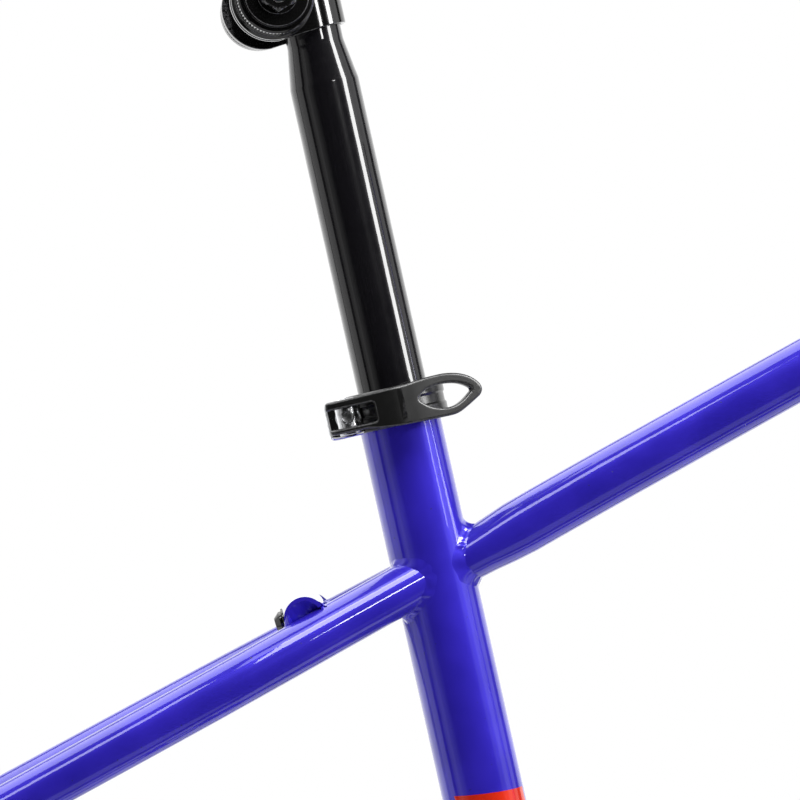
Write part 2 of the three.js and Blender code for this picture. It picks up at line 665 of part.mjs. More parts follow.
const innerCupProfile = [[0, cupStart], [discRadius - 0.2, cupStart], [discRadius - 0.2, cupStart + 2.4],
  [discRadius - 1.4, cupStart + 3.2], [discRadius - 1.4, innerCupEnd], [0, innerCupEnd]];
const outerCupProfile = [[0, outerCupStart], [15, outerCupStart], [15, outerCupStart + 3.4],
  [14.2, outerCupStart + 4.2], [12.4, outerCupStart + 4.4], [12, outerCupStart + 6.2],
  [0, outerCupStart + 6.2]];
const nutStart = outerCupStart + 6.2 + fitGap;
const nutEnd = nutStart + 5.5;

function railCup(profile, side) {
  const halfWidth = railGroove.width / 2;
  const low = railGroove.above - railGroove.height / 2;
  const middle = side * railMiddle;
  const groove = box(-30, 30, middle - halfWidth, middle + halfWidth, low, low + railGroove.height);
  return solid(turned(profile, 26).rotateX(side > 0 ? -Math.PI / 2 : Math.PI / 2))
    .subtract(solid(groove))
    .subtract(solid(crossRod(0, 0, saddleClamp.boltRadius + fitGap, -50, 50, 14)));
}

function hexNut(side) {
  const cornerRadius = 13 / Math.sqrt(3);
  const [low, high] = side > 0 ? [nutStart, nutEnd] : [-nutEnd, -nutStart];
  return solid(crossRod(0, 0, cornerRadius, low, high, 6))
    .subtract(solid(crossRod(0, 0, saddleClamp.boltRadius + fitGap, -50, 50, 14)));
}

for (const [word, side] of [["left", 1], ["right", -1]]) {
  add(tiltGroup, `rail_cup_inner_${word}`, railCup(innerCupProfile, side), "black");
  add(tiltGroup, `rail_cup_outer_${word}`, railCup(outerCupProfile, side), "black");
  add(tiltGroup, `rail_clamp_nut_${word}`, hexNut(side), "black");
}
add(tiltGroup, "rail_clamp_bolt",
  solid(crossRod(0, 0, saddleClamp.boltRadius, -nutEnd - 1, nutEnd + 1, 20)), "steel");

export default bicycleFrame;
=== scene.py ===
"""The visible surfaces of a bicycle frame, its seatpost and its clamps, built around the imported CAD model.

Lengths are millimetres in the part's own frame until a piece becomes a Blender mesh, in metres.
"""
import json
import math

import bmesh
import bpy
import numpy as np
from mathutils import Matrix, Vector


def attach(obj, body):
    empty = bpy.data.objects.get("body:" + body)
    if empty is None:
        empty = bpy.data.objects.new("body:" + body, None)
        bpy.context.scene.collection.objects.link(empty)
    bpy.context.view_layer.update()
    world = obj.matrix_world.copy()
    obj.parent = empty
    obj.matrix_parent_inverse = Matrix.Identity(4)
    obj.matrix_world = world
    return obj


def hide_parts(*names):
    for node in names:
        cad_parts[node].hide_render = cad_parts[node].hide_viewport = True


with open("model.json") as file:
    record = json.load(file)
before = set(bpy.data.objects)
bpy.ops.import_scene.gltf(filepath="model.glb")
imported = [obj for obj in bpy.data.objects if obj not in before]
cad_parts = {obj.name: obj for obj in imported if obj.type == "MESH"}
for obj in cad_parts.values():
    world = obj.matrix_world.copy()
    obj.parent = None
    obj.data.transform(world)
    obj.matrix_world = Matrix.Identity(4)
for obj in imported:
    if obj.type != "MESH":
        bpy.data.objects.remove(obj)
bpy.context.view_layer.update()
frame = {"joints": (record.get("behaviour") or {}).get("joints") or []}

MM = 0.001
TURN = 2 * math.pi
joints = {joint["name"]: joint for joint in frame["joints"]}

# ---- Driving dimensions -------------------------------------------------------------------------

GAP = 0.3
SEAT_TUBE = dict(radius=15.9, bore=13.9, top=337, slot_bottom=299, slot_width=2)
TOP_TUBE = dict(radius=11.1, seat_joint=264.5, flat=0.86, wide=1.06, flat_length=26)
TOP_TUBE_DROOP = dict(depth=0.8, length=85)
DOWN_TUBE = dict(radius=15.9)
HEAD_TUBE = dict(radius=18.5, bore=17, length=120, top_joint=35, low_joint=30)
SHELL = dict(radius=20, bore=17, half_width=34)
SEATSTAY = dict(radius=9.5, end_radius=8, end_x=-397, slope=0.543, at_x=-78.4, at_z=248)
CHAINSTAY = dict(radius=11.1, end_radius=8, end_x=-391, end_z=29)
SEAT_BRIDGE = dict(x=-107, z=242.5, radius=8)
CHAIN_BRIDGE = dict(x=-60, radius=7)
AXLE = dict(x=-418, z=32, slot_radius=5.1)
DROPOUT = dict(inner=67.5, thickness=6, eye_radius=15)
HANGER = dict(x=-430, z=4, radius=9, hole_radius=5)
POST = dict(radius=13.6, top_radius=11.1, wall=2.2, bottom=190, taper_start=458.6, taper_end=474.7, top=514)
COLLAR = dict(bottom=323.6, top=338.7, radius=19.4, slit=2.4, near=-11.5, far=16, lug_end=-26)
SKEWER = dict(v=-19.1, u=331, radius=2.5)
WASHER = dict(back=-27.7, front=-10.6, bottom=323, top=338.2, corner=4, inner=-11.8, outer=-13.9)
CAM = dict(y=-21.5, radius=7.3, offset=0.6, height=14, slot=7.5, window_front=-8)
SADDLE = dict(bolt=-15.3, disc=16, band_inner=11.4, band_outer=13.3, rail=22.4, rail_radius=4, groove_up=9.5)
BLADE = dict(thickness=3.4, back=-28.6, head_front=3.5)
DISC_TAB = dict(start_x=-393, hole_radius=3.1, holes_at=(7.5, 58.5), holes_up=19, near=9, far=4)
BOTTLE_BOSSES = {"lower": 230, "upper": 294}
CABLE_STOPS = dict(at=500, drop=6)
BAND = dict(top=179, length=74, film=0.12)

# ---- Axes ---------------------------------------------------------------------------------------


def unit(vector):
    vector = np.asarray(vector, float)
    return vector / np.linalg.norm(vector)


class Axes:
    """Three directions at a point, which carry local points into the part's own frame."""

    def __init__(self, origin, x, z):
        self.origin = np.asarray(origin, float)
        z = unit(z)
        x = unit(np.asarray(x, float) - np.dot(x, z) * z)
        self.rows = np.array([x, np.cross(z, x), z])

    def out(self, points):
        return self.origin + np.asarray(points, float) @ self.rows

    def moved(self, point):
        return Axes(self.out(point), self.rows[0], self.rows[2])


def joint_point(name):
    return np.array(joints[name]["pos_m"]) / MM


seat_up = unit(joints["post_height"]["axis"])
head_up = unit(joints["upper_bearing_turn"]["axis"])
lean = math.asin(-seat_up[0])
SEAT = Axes((0, 0, 0), (1, 0, 0), seat_up)
ACROSS = Axes((0, 0, 0), (1, 0, 0), (0, 1, 0))
HEAD_TOP = Axes(joint_point("upper_bearing_turn"), (1, 0, 0), head_up)
HEAD_LOW = Axes(joint_point("lower_bearing_turn"), (1, 0, 0), -head_up)
bolt_axis = unit(joints["saddle_tilt"]["axis"])
STRAP = Axes(joint_point("saddle_clamp_turn"), np.cross(bolt_axis, seat_up), seat_up)
level_up = unit(np.cross(np.cross(bolt_axis, (0, 0, 1)), bolt_axis))
TILT = Axes(joint_point("saddle_tilt"), np.cross(bolt_axis, level_up), bolt_axis)

# ---- Forms: vertices and faces ------------------------------------------------------------------


class Form:
    def __init__(self, points, faces):
        self.points = np.asarray(points, float).reshape(-1, 3)
        self.faces = [tuple(face) for face in faces]

    def __add__(self, other):
        shift = len(self.points)
        faces = self.faces + [tuple(i + shift for i in face) for face in other.faces]
        return Form(np.vstack([self.points, other.points]), faces)

    def placed(self, axes):
        return Form(axes.out(self.points), self.faces)


def grid(points, close_rows=False, close_columns=True):
    """Quads over an array of points with rows and columns."""
    rows, columns = points.shape[:2]
    index = np.arange(rows * columns).reshape(rows, columns)
    if close_rows:
        index = np.vstack([index, index[:1]])
    if close_columns:
        index = np.hstack([index, index[:, :1]])
    quads = np.stack([index[:-1, :-1], index[:-1, 1:], index[1:, 1:], index[1:, :-1]], -1)
    return Form(points.reshape(-1, 3), quads.reshape(-1, 4).tolist())


def rounded(corners, fillet=0.5, closed=False, steps=5):
    """Corners (x, y) or (x, y, own fillet) joined by straight lines, each rounded off."""
    points = np.array([corner[:2] for corner in corners], float)
    count = len(points)
    made = []
    for i, corner in enumerate(corners):
        size = corner[2] if len(corner) > 2 else fillet
        here = points[i]
        if size == 0 or (not closed and i in (0, count - 1)):
            made.append(here)
            continue
        back = points[i - 1] - here
        on = points[(i + 1) % count] - here
        reach = [np.linalg.norm(back), np.linalg.norm(on)]
        cosine = np.clip(np.dot(back, on) / (reach[0] * reach[1]), -1, 1)
        half = max(math.acos(cosine) / 2, 1e-3)
        cut = min(size / math.tan(half), 0.48 * min(reach))
        start = here + back / reach[0] * cut
        end = here + on / reach[1] * cut
        for share in np.linspace(0, 1, steps + 1):
            made.append((1 - share) ** 2 * start + 2 * share * (1 - share) * here + share ** 2 * end)
    return np.array(made)


def lathe(profile, segments=128, wobble=None):
    """A profile of (radius, height) points turned about z. It closes on itself or on the axis."""
    profile = np.asarray(profile, float)
    ring_shaped = profile[0][0] > 1e-6 and profile[-1][0] > 1e-6
    angles = np.linspace(0, TURN, segments, endpoint=False)
    radius, height = profile[:, :1], profile[:, 1:2]
    if wobble is not None:
        radius = radius + wobble(radius, height, angles[None, :])
    x = radius * np.cos(angles)
    y = radius * np.sin(angles)
    z = np.broadcast_to(height, x.shape)
    return grid(np.stack([x, y, z], -1), close_rows=ring_shaped)


def closed_ring(corners, segments=128, wobble=None, steps=5):
    """A rounded section that stays clear of the axis, turned about z."""
    profile = rounded(corners, closed=True, steps=steps)
    return lathe(np.vstack([profile, profile[:1]]), segments, wobble)


def outline(start, *moves):
    """An outline of lines (x, y), curves (control x, control y, x, y) and arcs.

    An arc is ("arc", x, y, radius, from, to), with its angles in degrees.
    """
    points = [np.array(start, float)]
    for move in moves:
        if move[0] == "arc":
            _, x, y, radius, begin, end = move
            turn = np.radians(np.linspace(begin, end, 25))
            points += [np.array([x + radius * math.cos(a), y + radius * math.sin(a)]) for a in turn]
        elif len(move) == 4:
            here, control, end = points[-1], np.array(move[:2]), np.array(move[2:])
            for share in np.linspace(0, 1, 17)[1:]:
                weights = (1 - share) ** 2, 2 * share * (1 - share), share ** 2
                points.append(weights[0] * here + weights[1] * control + weights[2] * end)
        else:
            points.append(np.array(move, float))
    return np.array(points)


def circle(x, y, radius, count=48):
    angles = np.linspace(0, TURN, count, endpoint=False)
    return np.stack([x + radius * np.cos(angles), y + radius * np.sin(angles)], -1)


def fill(bm, form, scale):
    verts = [bm.verts.new(tuple(point * scale)) for point in form.points]
    for face in form.faces:
        if len(set(face)) > 2:
            try:
                bm.faces.new([verts[i] for i in face])
            except ValueError:
                continue
    bmesh.ops.remove_doubles(bm, verts=bm.verts[:], dist=2e-3 * scale)
    bmesh.ops.dissolve_degenerate(bm, edges=bm.edges[:], dist=1e-4 * scale)
    bmesh.ops.recalc_face_normals(bm, faces=bm.faces[:])


def new_mesh(name, form, scale=1):
    """A form as a Blender mesh."""
    bm = bmesh.new()
    fill(bm, form, scale)
    mesh = bpy.data.meshes.new(name)
    bm.to_mesh(mesh)
    bm.free()
    return mesh


def new_object(name, data):
    made = bpy.data.objects.new(name, data)
    bpy.context.scene.collection.objects.link(made)
    return made


def evaluated(made):
    """The form of an object once its curve or its modifiers are worked out."""
    bpy.context.view_layer.update()
    mesh = bpy.data.meshes.new_from_object(made.evaluated_get(bpy.context.evaluated_depsgraph_get()))
    form = Form([tuple(v.co) for v in mesh.vertices], [tuple(p.vertices) for p in mesh.polygons])
    bpy.data.meshes.remove(mesh)
    return form


def plate(outlines, low, high, bevel=0.6, steps=3):
    """Outlines, the first one around the others, given a thickness from low to high with rounded edges."""
    curve = bpy.data.curves.new("plate", "CURVE")
    curve.dimensions = "2D"
    curve.fill_mode = "BOTH"
    curve.extrude = (high - low) / 2 - bevel
    curve.bevel_depth = bevel
    curve.bevel_resolution = steps
    curve.offset = -bevel
    for points in outlines:
        gaps = np.linalg.norm(points - np.roll(points, 1, 0), axis=1)
        points = points[gaps > 0.02]
        spline = curve.splines.new("POLY")
        spline.points.add(len(points) - 1)
        for slot, point in zip(spline.points, points):
            slot.co = (point[0], point[1], 0, 1)
        spline.use_cyclic_u = True
    holder = new_object("plate", curve)
    form = evaluated(holder)
    form.points[:, 2] += (low + high) / 2
    bpy.data.objects.remove(holder)
    bpy.data.curves.remove(curve)
    return form


def sliced(form, axis, places):
    """The same form with its faces cut where it crosses each place on the axis, so that it can bend."""
    bm = bmesh.new()
    fill(bm, form, 1)
    normal = [0, 0, 0]
    normal[axis] = 1
    for place in places:
        point = [0, 0, 0]
        point[axis] = place
        everything = bm.verts[:] + bm.edges[:] + bm.faces[:]
        bmesh.ops.bisect_plane(bm, geom=everything, dist=1e-5, plane_co=point, plane_no=normal)
    bm.verts.index_update()
    made = Form([tuple(v.co) for v in bm.verts], [[v.index for v in f.verts] for f in bm.faces])
    bm.free()
    return made


def combined(form, others, operation):
    """The form cut by, or joined to, others by an exact boolean."""
    for other in others:
        target = new_object("blank", new_mesh("blank", form))
        cutter = new_object("tool", new_mesh("tool", other))
        modifier = target.modifiers.new("cut", "BOOLEAN")
        modifier.object = cutter
        modifier.operation = operation
        modifier.solver = "EXACT"
        form = evaluated(target)
        for holder in (target, cutter):
            mesh = holder.data
            bpy.data.objects.remove(holder)
            bpy.data.meshes.remove(mesh)
    return form


def cut(form, *tools):
    return combined(form, tools, "DIFFERENCE")


def united(form, *others):
    return combined(form, others, "UNION")


def block(x0, x1, y0, y1, z0, z1):
    corners = [(x, y, z) for x in (x0, x1) for y in (y0, y1) for z in (z0, z1)]
    return Form(corners, [(0, 1, 3, 2), (4, 6, 7, 5), (0, 4, 5, 1), (2, 3, 7, 6), (0, 2, 6, 4), (1, 5, 7, 3)])


def pin(radius, low, high, segments=64):
    return lathe([(0, low), (radius, low), (radius, high), (0, high)], segments)


# ---- Tubes along paths --------------------------------------------------------------------------


def smooth_path(points, per_span=60):
    """Centripetal Catmull-Rom points through the given ones."""
    points = np.asarray(points, float)
    ends = np.vstack([2 * points[0] - points[1], points, 2 * points[-1] - points[-2]])
    made = []
    for a, b, c, d in zip(ends, ends[1:], ends[2:], ends[3:]):
        gaps = [np.linalg.norm(q - p) ** 0.5 for p, q in ((a, b), (b, c), (c, d))]
        leave = ((b - a) / gaps[0] - (c - a) / (gaps[0] + gaps[1]) + (c - b) / gaps[1]) * gaps[1]
        reach = ((c - b) / gaps[1] - (d - b) / (gaps[1] + gaps[2]) + (d - c) / gaps[2]) * gaps[1]
        for share in np.linspace(0, 1, per_span, endpoint=False):
            square, cube = share ** 2, share ** 3
            start = (2 * cube - 3 * square + 1) * b + (cube - 2 * square + share) * leave
            made.append(start + (3 * square - 2 * cube) * c + (cube - square) * reach)
    return np.array(made + [points[-1]])


class Tube:
    """A round or oval tube along a path, whose size gives half width and half height at a share of it."""

    def __init__(self, path, size):
        path = np.asarray(path, float)
        lengths = np.concatenate([[0], np.cumsum(np.linalg.norm(np.diff(path, axis=0), axis=1))])
        self.length = lengths[-1]
        self.shares = np.linspace(0, 1, 240)
        places = self.shares * self.length
        self.path = np.stack([np.interp(places, lengths, path[:, k]) for k in range(3)], -1)
        along = np.gradient(self.path, axis=0)
        self.along = along / np.linalg.norm(along, axis=1, keepdims=True)
        guide = np.array([0, 1, 0]) if abs(self.along[0][1]) < 0.9 else np.array([0, 0, 1])
        rise = np.cross(self.along, guide)
        self.rise = rise / np.linalg.norm(rise, axis=1, keepdims=True)
        self.side = np.cross(self.rise, self.along)
        self.size = size

    def look_up(self, table, share):
        return np.stack([np.interp(share, self.shares, table[:, k]) for k in range(3)], -1)

    def point(self, share, angle, inset=0):
        wide, tall = self.size(share)
        side = self.look_up(self.side, share) * ((wide - inset) * np.cos(angle))[..., None]
        rise = self.look_up(self.rise, share) * ((tall - inset) * np.sin(angle))[..., None]
        return self.look_up(self.path, share) + side + rise

    def outside(self, points):
        """How far outside the tube each point is, and the way out."""
        flat = points.reshape(-1, 3)
        if np.ptp(self.along, axis=0).max() < 1e-9:
            steps = np.clip((flat - self.path[0]) @ self.along[0] / self.length, -0.5, 1.5)
            centre = self.path[0] + steps[:, None] * self.length * self.along[0]
            share = np.clip(steps, 0, 1)
        else:
            gaps = ((flat[:, None] - self.path[None]) ** 2).sum(-1)
            nearest = gaps.argmin(1)
            offset = ((flat - self.path[nearest]) * self.along[nearest]).sum(-1)
            centre = self.path[nearest] + offset[:, None] * self.along[nearest]
            share = self.shares[nearest]
        away = flat - centre
        distance = np.linalg.norm(away, axis=1)
        wide, _ = self.size(share)
        way = away / np.maximum(distance, 1e-9)[:, None]
        return (distance - wide).reshape(points.shape[:-1]), way.reshape(points.shape)

    def meeting(self, angles, others, at_start=True, inset=0):
        """The share at which the line along the tube at each angle comes out of the others."""

        def clear(share):
            points = self.point(share, np.broadcast_to(angles, share.shape), inset)
            return np.min([other.outside(points)[0] for other in others], axis=0)

        trial = np.linspace(0, 0.5, 60) if at_start else np.linspace(1, 0.5, 60)
        inside = clear(np.repeat(trial[:, None], len(angles), 1)) < 0
        last = np.where(inside.any(0), inside.shape[0] - 1 - inside[::-1].argmax(0), 0)
        low, high = trial[last], trial[np.minimum(last + 1, len(trial) - 1)]
        for _ in range(30):
            middle = (low + high) / 2
            out = clear(middle) > 0
            high = np.where(out, middle, high)
            low = np.where(out, low, middle)
        return high

    def form(self, start=(), end=(), wall=1.2, segments=144, rows=40, dome=0.0):
        """The tube's skin, cut back to the others it meets at its start and end."""
        angles = np.linspace(0, TURN, segments, endpoint=False)
        layers = []
        for inset in (0, wall):
            first = self.meeting(angles, start, True, inset) if start else np.zeros(segments)
            last = self.meeting(angles, end, False, inset) if end else np.ones(segments)
            spread = np.linspace(0, 1, rows)[:, None]
            share = first + (last - first) * spread
            layers.append(self.point(share, np.broadcast_to(angles, share.shape), inset))
        if not dome:
            return grid(np.vstack([layers[0], layers[1][::-1]]), close_rows=True)
        last_ring = layers[0][-1]
        middle = last_ring.mean(0)
        cap = []
        for step in np.linspace(0, 1, 9)[1:]:
            turn = step * math.pi / 2
            ring = middle + (last_ring - middle) * math.cos(turn)
            cap.append(ring + self.along[-1] * dome * math.sin(turn))
        first_ring = layers[0][0]
        floor = np.repeat(first_ring.mean(0)[None], segments, 0)
        return grid(np.concatenate([floor[None], layers[0], np.array(cap)]))


def straight(start, end, size):
    return Tube([start, end], size)


def even(radius):
    return lambda share: (np.full(np.shape(share), float(radius)), np.full(np.shape(share), float(radius)))


def bead(branch, others, at_start=True, leg=2.6, main_leg=2.8, pitch=4.4, swell=0.34, seed=1):
    """A weld filled over with paint along the line where a tube meets the others, as a closed ring."""
    count = 900
    angles = np.linspace(0, TURN, count, endpoint=False)
    share = branch.meeting(angles, others, at_start)
    root = branch.point(share, angles)
    step = 0.2 / branch.length * (1 if at_start else -1)
    along = branch.point(share + step, angles) - root
    along /= np.linalg.norm(along, axis=1, keepdims=True)
    found = [other.outside(root) for other in others]
    nearest = np.argmin([distance for distance, _ in found], axis=0)
    main_way = np.take_along_axis(np.array([way for _, way in found]), nearest[None, :, None], 0)[0]
    line = np.roll(root, -1, 0) - np.roll(root, 1, 0)
    line /= np.linalg.norm(line, axis=1, keepdims=True)
    branch_way = np.cross(line, along)
    branch_way *= np.sign((branch_way * (root - branch.look_up(branch.path, share))).sum(-1, keepdims=True))
    spread = np.cross(line, main_way)
    spread *= np.sign((spread * branch_way).sum(-1, keepdims=True))
    for _ in range(3):
        spread = np.roll(spread, 1, 0) + 2 * spread + np.roll(spread, -1, 0)
        spread /= np.linalg.norm(spread, axis=1, keepdims=True)
    rng = np.random.default_rng(seed)
    length = np.concatenate([[0], np.cumsum(np.linalg.norm(np.diff(root, axis=0), axis=1))])
    total = length[-1] + np.linalg.norm(root[0] - root[-1])
    round_it = length / total * TURN

    def drift(waves):
        return sum(rng.uniform(0.4, 1) * np.sin(round_it * wave + rng.uniform(0, TURN)) for wave in waves)

    phase = round_it * max(10, round(total / pitch)) + 0.9 * drift((3, 5, 8))
    ripple_size = 0.6 + 0.22 * drift((4, 7, 11))
    opening = (branch_way * main_way).sum(-1)
    flatness = np.clip((opening - 0.3) / 0.42, 0, 1)
    filling = 1 + 0.7 * np.clip(-opening / 0.28, 0, 1)
    legs = leg * filling * (1 + 0.05 * drift((3, 6, 10)) + 0.05 * np.sin(phase))
    unevenness = 1 + 0.04 * drift((2, 5, 9)) + 0.04 * np.sin(phase + 1)
    other_legs = (main_leg * filling + 2.2 * flatness) * unevenness
    on_branch = root + along * legs[:, None] - branch_way * 0.06
    on_main = root + spread * other_legs[:, None]
    for index, other in enumerate(others):
        chosen = nearest == index
        distance, way = other.outside(on_main[chosen])
        on_main[chosen] -= way * (distance + 0.06)[:, None]
    fullness = 0.34
    middle = root * (1 - fullness) + (on_branch + on_main) / 2 * fullness
    face_way = branch_way + main_way
    face_way /= np.linalg.norm(face_way, axis=1, keepdims=True)
    rings = []
    for t in np.linspace(0, 1, 21):
        point = (1 - t) ** 2 * on_branch + 2 * t * (1 - t) * middle + t ** 2 * on_main
        wave = 0.5 + 0.5 * np.sin(phase - 8 * (t - 0.5) ** 2)
        lift = swell * (4 * t * (1 - t)) ** 1.3 * (0.35 + ripple_size * wave)
        rings.append(point + face_way * lift[:, None])
    rings.append(root - face_way * 1.2)
    return grid(np.array(rings).transpose(1, 0, 2), close_rows=True)


# ---- Materials ----------------------------------------------------------------------------------


class Nodes:
    """A material's node tree, with short ways to add to it."""

    def __init__(self, name):
        self.material = bpy.data.materials.new(name)
        self.material.use_nodes = True
        self.tree = self.material.node_tree
        self.shader = self.tree.nodes["Principled BSDF"]
        self.place = self.add("ShaderNodeTexCoord").outputs["Object"]

    def add(self, kind, **settings):
        node = self.tree.nodes.new(kind)
        for key, value in settings.items():
            if hasattr(node, key):
                setattr(node, key, value)
            else:
                node.inputs[key].default_value = value
        return node

    def link(self, source, target):
        self.tree.links.new(source, target)

    def set(self, **values):
        for key, value in values.items():
            self.shader.inputs[key.replace("_", " ")].default_value = value

    def noise(self, size, detail=3.0, roughness=0.5, stretch=None, axes=None):
        """Noise whose features are about this many millimetres, longer along one axis if stretched."""
        place = self.place
        if stretch is not None:
            mapping = self.add("ShaderNodeMapping", vector_type="TEXTURE")
            mapping.inputs["Rotation"].default_value = axes
            mapping.inputs["Scale"].default_value = stretch
            self.link(place, mapping.inputs["Vector"])
            place = mapping.outputs["Vector"]
        node = self.add("ShaderNodeTexNoise", Scale=1 / (size * MM), Detail=detail, Roughness=roughness)
        self.link(place, node.inputs["Vector"])
        return node.outputs["Fac"]

    def ramp(self, source, *stops):
        """Maps a value through (position, colour or grey) stops."""
        node = self.add("ShaderNodeValToRGB")
        elements = node.color_ramp.elements
        while len(elements) < len(stops):
            elements.new(0.5)
        for element, (position, value) in zip(elements, stops):
            element.position = position
            element.color = (*value, 1) if isinstance(value, tuple) else (value, value, value, 1)
        self.link(source, node.inputs["Fac"])
        return node.outputs["Color"]

    def mix(self, share, first, second):
        node = self.add("ShaderNodeMix", data_type="RGBA")
        for socket, value in ((node.inputs[0], share), (node.inputs[6], first), (node.inputs[7], second)):
            if isinstance(value, bpy.types.NodeSocket):
                self.link(value, socket)
            elif isinstance(value, tuple):
                socket.default_value = (*value, 1)
            else:
                socket.default_value = value
        return node.outputs[2]

    def times(self, first, second, operation="MULTIPLY"):
        node = self.add("ShaderNodeMath", operation=operation)
        for socket, value in zip(node.inputs, (first, second)):
            if isinstance(value, bpy.types.NodeSocket):
                self.link(value, socket)
            else:
                socket.default_value = value
        return node.outputs[0]

    def bumps(self, *layers):
        """Stacks bump layers of (height, depth in millimetres)."""
        normal = None
        for height, depth in layers:
            node = self.add("ShaderNodeBump", Strength=1.0, Distance=depth * MM)
            self.link(height, node.inputs["Height"])
            if normal is not None:
                self.link(normal, node.inputs["Normal"])
            normal = node.outputs["Normal"]
        return normal


LEAN_TURN = (0, -lean, 0)


def paint(name, deep, light, specks=(0.02, 0.02, 0.05)):
    """Glossy coloured lacquer: slight flow waves, fine orange peel, a few dust nibs."""
    nodes = Nodes(name)
    nodes.set(Metallic=0.3, Coat_Weight=1.0, Coat_Roughness=0.012, Coat_IOR=1.55, Specular_IOR_Level=0.15)
    cloudy = nodes.noise(26, 2)
    colour = nodes.mix(nodes.ramp(cloudy, (0.35, 0.0), (0.65, 1.0)), deep, light)
    nibs = nodes.ramp(nodes.noise(1.3, 1), (0.785, 0.0), (0.80, 1.0))
    colour = nodes.mix(nibs, colour, specks)
    nodes.link(colour, nodes.shader.inputs["Base Color"])
    haze = nodes.ramp(nodes.noise(9, 4), (0.3, 0.34), (0.75, 0.42))
    nodes.link(haze, nodes.shader.inputs["Roughness"])
    flow = nodes.bumps((nodes.noise(7.5, 2), 0.05), (nodes.noise(2.2, 2), 0.006), (nibs, 0.02))
    nodes.link(flow, nodes.shader.inputs["Coat Normal"])
    flake = nodes.bumps((nodes.noise(0.35, 1), 0.012))
    nodes.link(flake, nodes.shader.inputs["Normal"])
    return nodes.material


def post_black():
    """Gloss black tube with faint scratches from sliding in the seat tube."""
    nodes = Nodes("gloss_black")
    nodes.set(Coat_Weight=1.0, Coat_Roughness=0.02, Specular_IOR_Level=0.1)
    streaks = nodes.noise(0.5, 4, 0.7, (1, 1, 60), LEAN_TURN)
    dark, pale = (0.0040, 0.0037, 0.0048), (0.0064, 0.0060, 0.0074)
    colour = nodes.ramp(streaks, (0.35, dark), (0.72, pale), (0.8, 0.02))
    nodes.link(colour, nodes.shader.inputs["Base Color"])
    nodes.link(nodes.ramp(nodes.noise(5, 4), (0.3, 0.2), (0.8, 0.36)), nodes.shader.inputs["Roughness"])
    coat = nodes.bumps((nodes.noise(9, 2), 0.03), (streaks, 0.0012))
    nodes.link(coat, nodes.shader.inputs["Coat Normal"])
    return nodes.material


def worn(nodes):
    """How worn each spot is: high along sharp edges, broken up by noise."""
    edge = nodes.add("ShaderNodeAttribute", attribute_name="edge").outputs["Fac"]
    edge = nodes.ramp(edge, (0.8, 0.0), (1.0, 1.0))
    patches = nodes.ramp(nodes.noise(0.8, 4, 0.6), (0.42, 0.0), (0.62, 1.0))
    return nodes.times(edge, patches)


def satin_black(name="satin_black", base=0.003, rough=(0.30, 0.33), shine=(0.14, 0.14, 0.15), grain=0.012):
    """Anodised aluminium: soft unevenness, and bare metal showing along the edges."""
    nodes = Nodes(name)
    nodes.set(Coat_Weight=0.15, Coat_Roughness=0.12, Specular_IOR_Level=0.8)
    wear = worn(nodes)
    grime = nodes.ramp(nodes.noise(6, 3, 0.5), (0.3, base), (0.8, base * 1.6))
    colour = nodes.mix(nodes.times(wear, 0.3), grime, shine)
    nodes.link(colour, nodes.shader.inputs["Base Color"])
    spread = nodes.ramp(nodes.noise(4, 3), (0.3, rough[0]), (0.75, rough[1]))
    nodes.link(spread, nodes.shader.inputs["Roughness"])
    nodes.link(nodes.bumps((nodes.noise(5, 2), grain)), nodes.shader.inputs["Normal"])
    return nodes.material


def bright_metal(name, tint, rough, scratch, dirt, grain=(1, 1, 1)):
    """Plated or turned metal with hairline scratches and a little dirt in patches."""
    nodes = Nodes(name)
    nodes.set(Metallic=1.0)
    film = nodes.ramp(nodes.noise(2.2, 5, 0.65), (0.48, 0.0), (0.72, 1.0))
    colour = nodes.mix(nodes.times(film, dirt), tint, tuple(0.28 * part for part in tint))
    nodes.link(colour, nodes.shader.inputs["Base Color"])
    hair = nodes.noise(0.22, 3, 0.6, grain, (0, 0, 0))
    low, high = rough
    base = nodes.ramp(hair, (0.3, low), (0.75, high))
    spread = nodes.times(base, nodes.ramp(film, (0, 0.0), (1, 0.14)), "ADD")
    nodes.link(spread, nodes.shader.inputs["Roughness"])
    nodes.link(nodes.bumps((nodes.noise(3.0, 2), 0.02), (hair, scratch)), nodes.shader.inputs["Normal"])
    return nodes.material


def moulded_plastic():
    nodes = Nodes("moulded_plastic")
    nodes.set(Specular_IOR_Level=0.4)
    colour = nodes.ramp(nodes.noise(4, 4), (0.3, 0.010), (0.8, 0.022))
    nodes.link(colour, nodes.shader.inputs["Base Color"])
    nodes.link(nodes.ramp(nodes.noise(2, 3), (0.3, 0.42), (0.8, 0.6)), nodes.shader.inputs["Roughness"])
    nodes.link(nodes.bumps((nodes.noise(0.4, 2), 0.02)), nodes.shader.inputs["Normal"])
    return nodes.material


FRAME_PAINT = paint("frame_paint", (0.024, 0.014, 0.40), (0.034, 0.020, 0.50))
DECAL_RED = paint("decal_red", (0.62, 0.018, 0.004), (0.72, 0.028, 0.006), (0.3, 0.02, 0.01))
POST_BLACK = post_black()
SATIN_BLACK = satin_black()
CLAMP_BLACK = satin_black("clamp_black", 0.002, (0.10, 0.13), (0.22, 0.22, 0.23), 0.003)
CHROME = bright_metal("chrome", (0.86, 0.87, 0.89), (0.04, 0.12), 0.003, 0.35)
TURNED = bright_metal("turned_steel", (0.80, 0.81, 0.83), (0.20, 0.34), 0.006, 0.4)
STEEL = bright_metal("steel", (0.50, 0.50, 0.51), (0.24, 0.42), 0.008, 0.7)
PLASTIC = moulded_plastic()

# ---- Pieces -------------------------------------------------------------------------------------


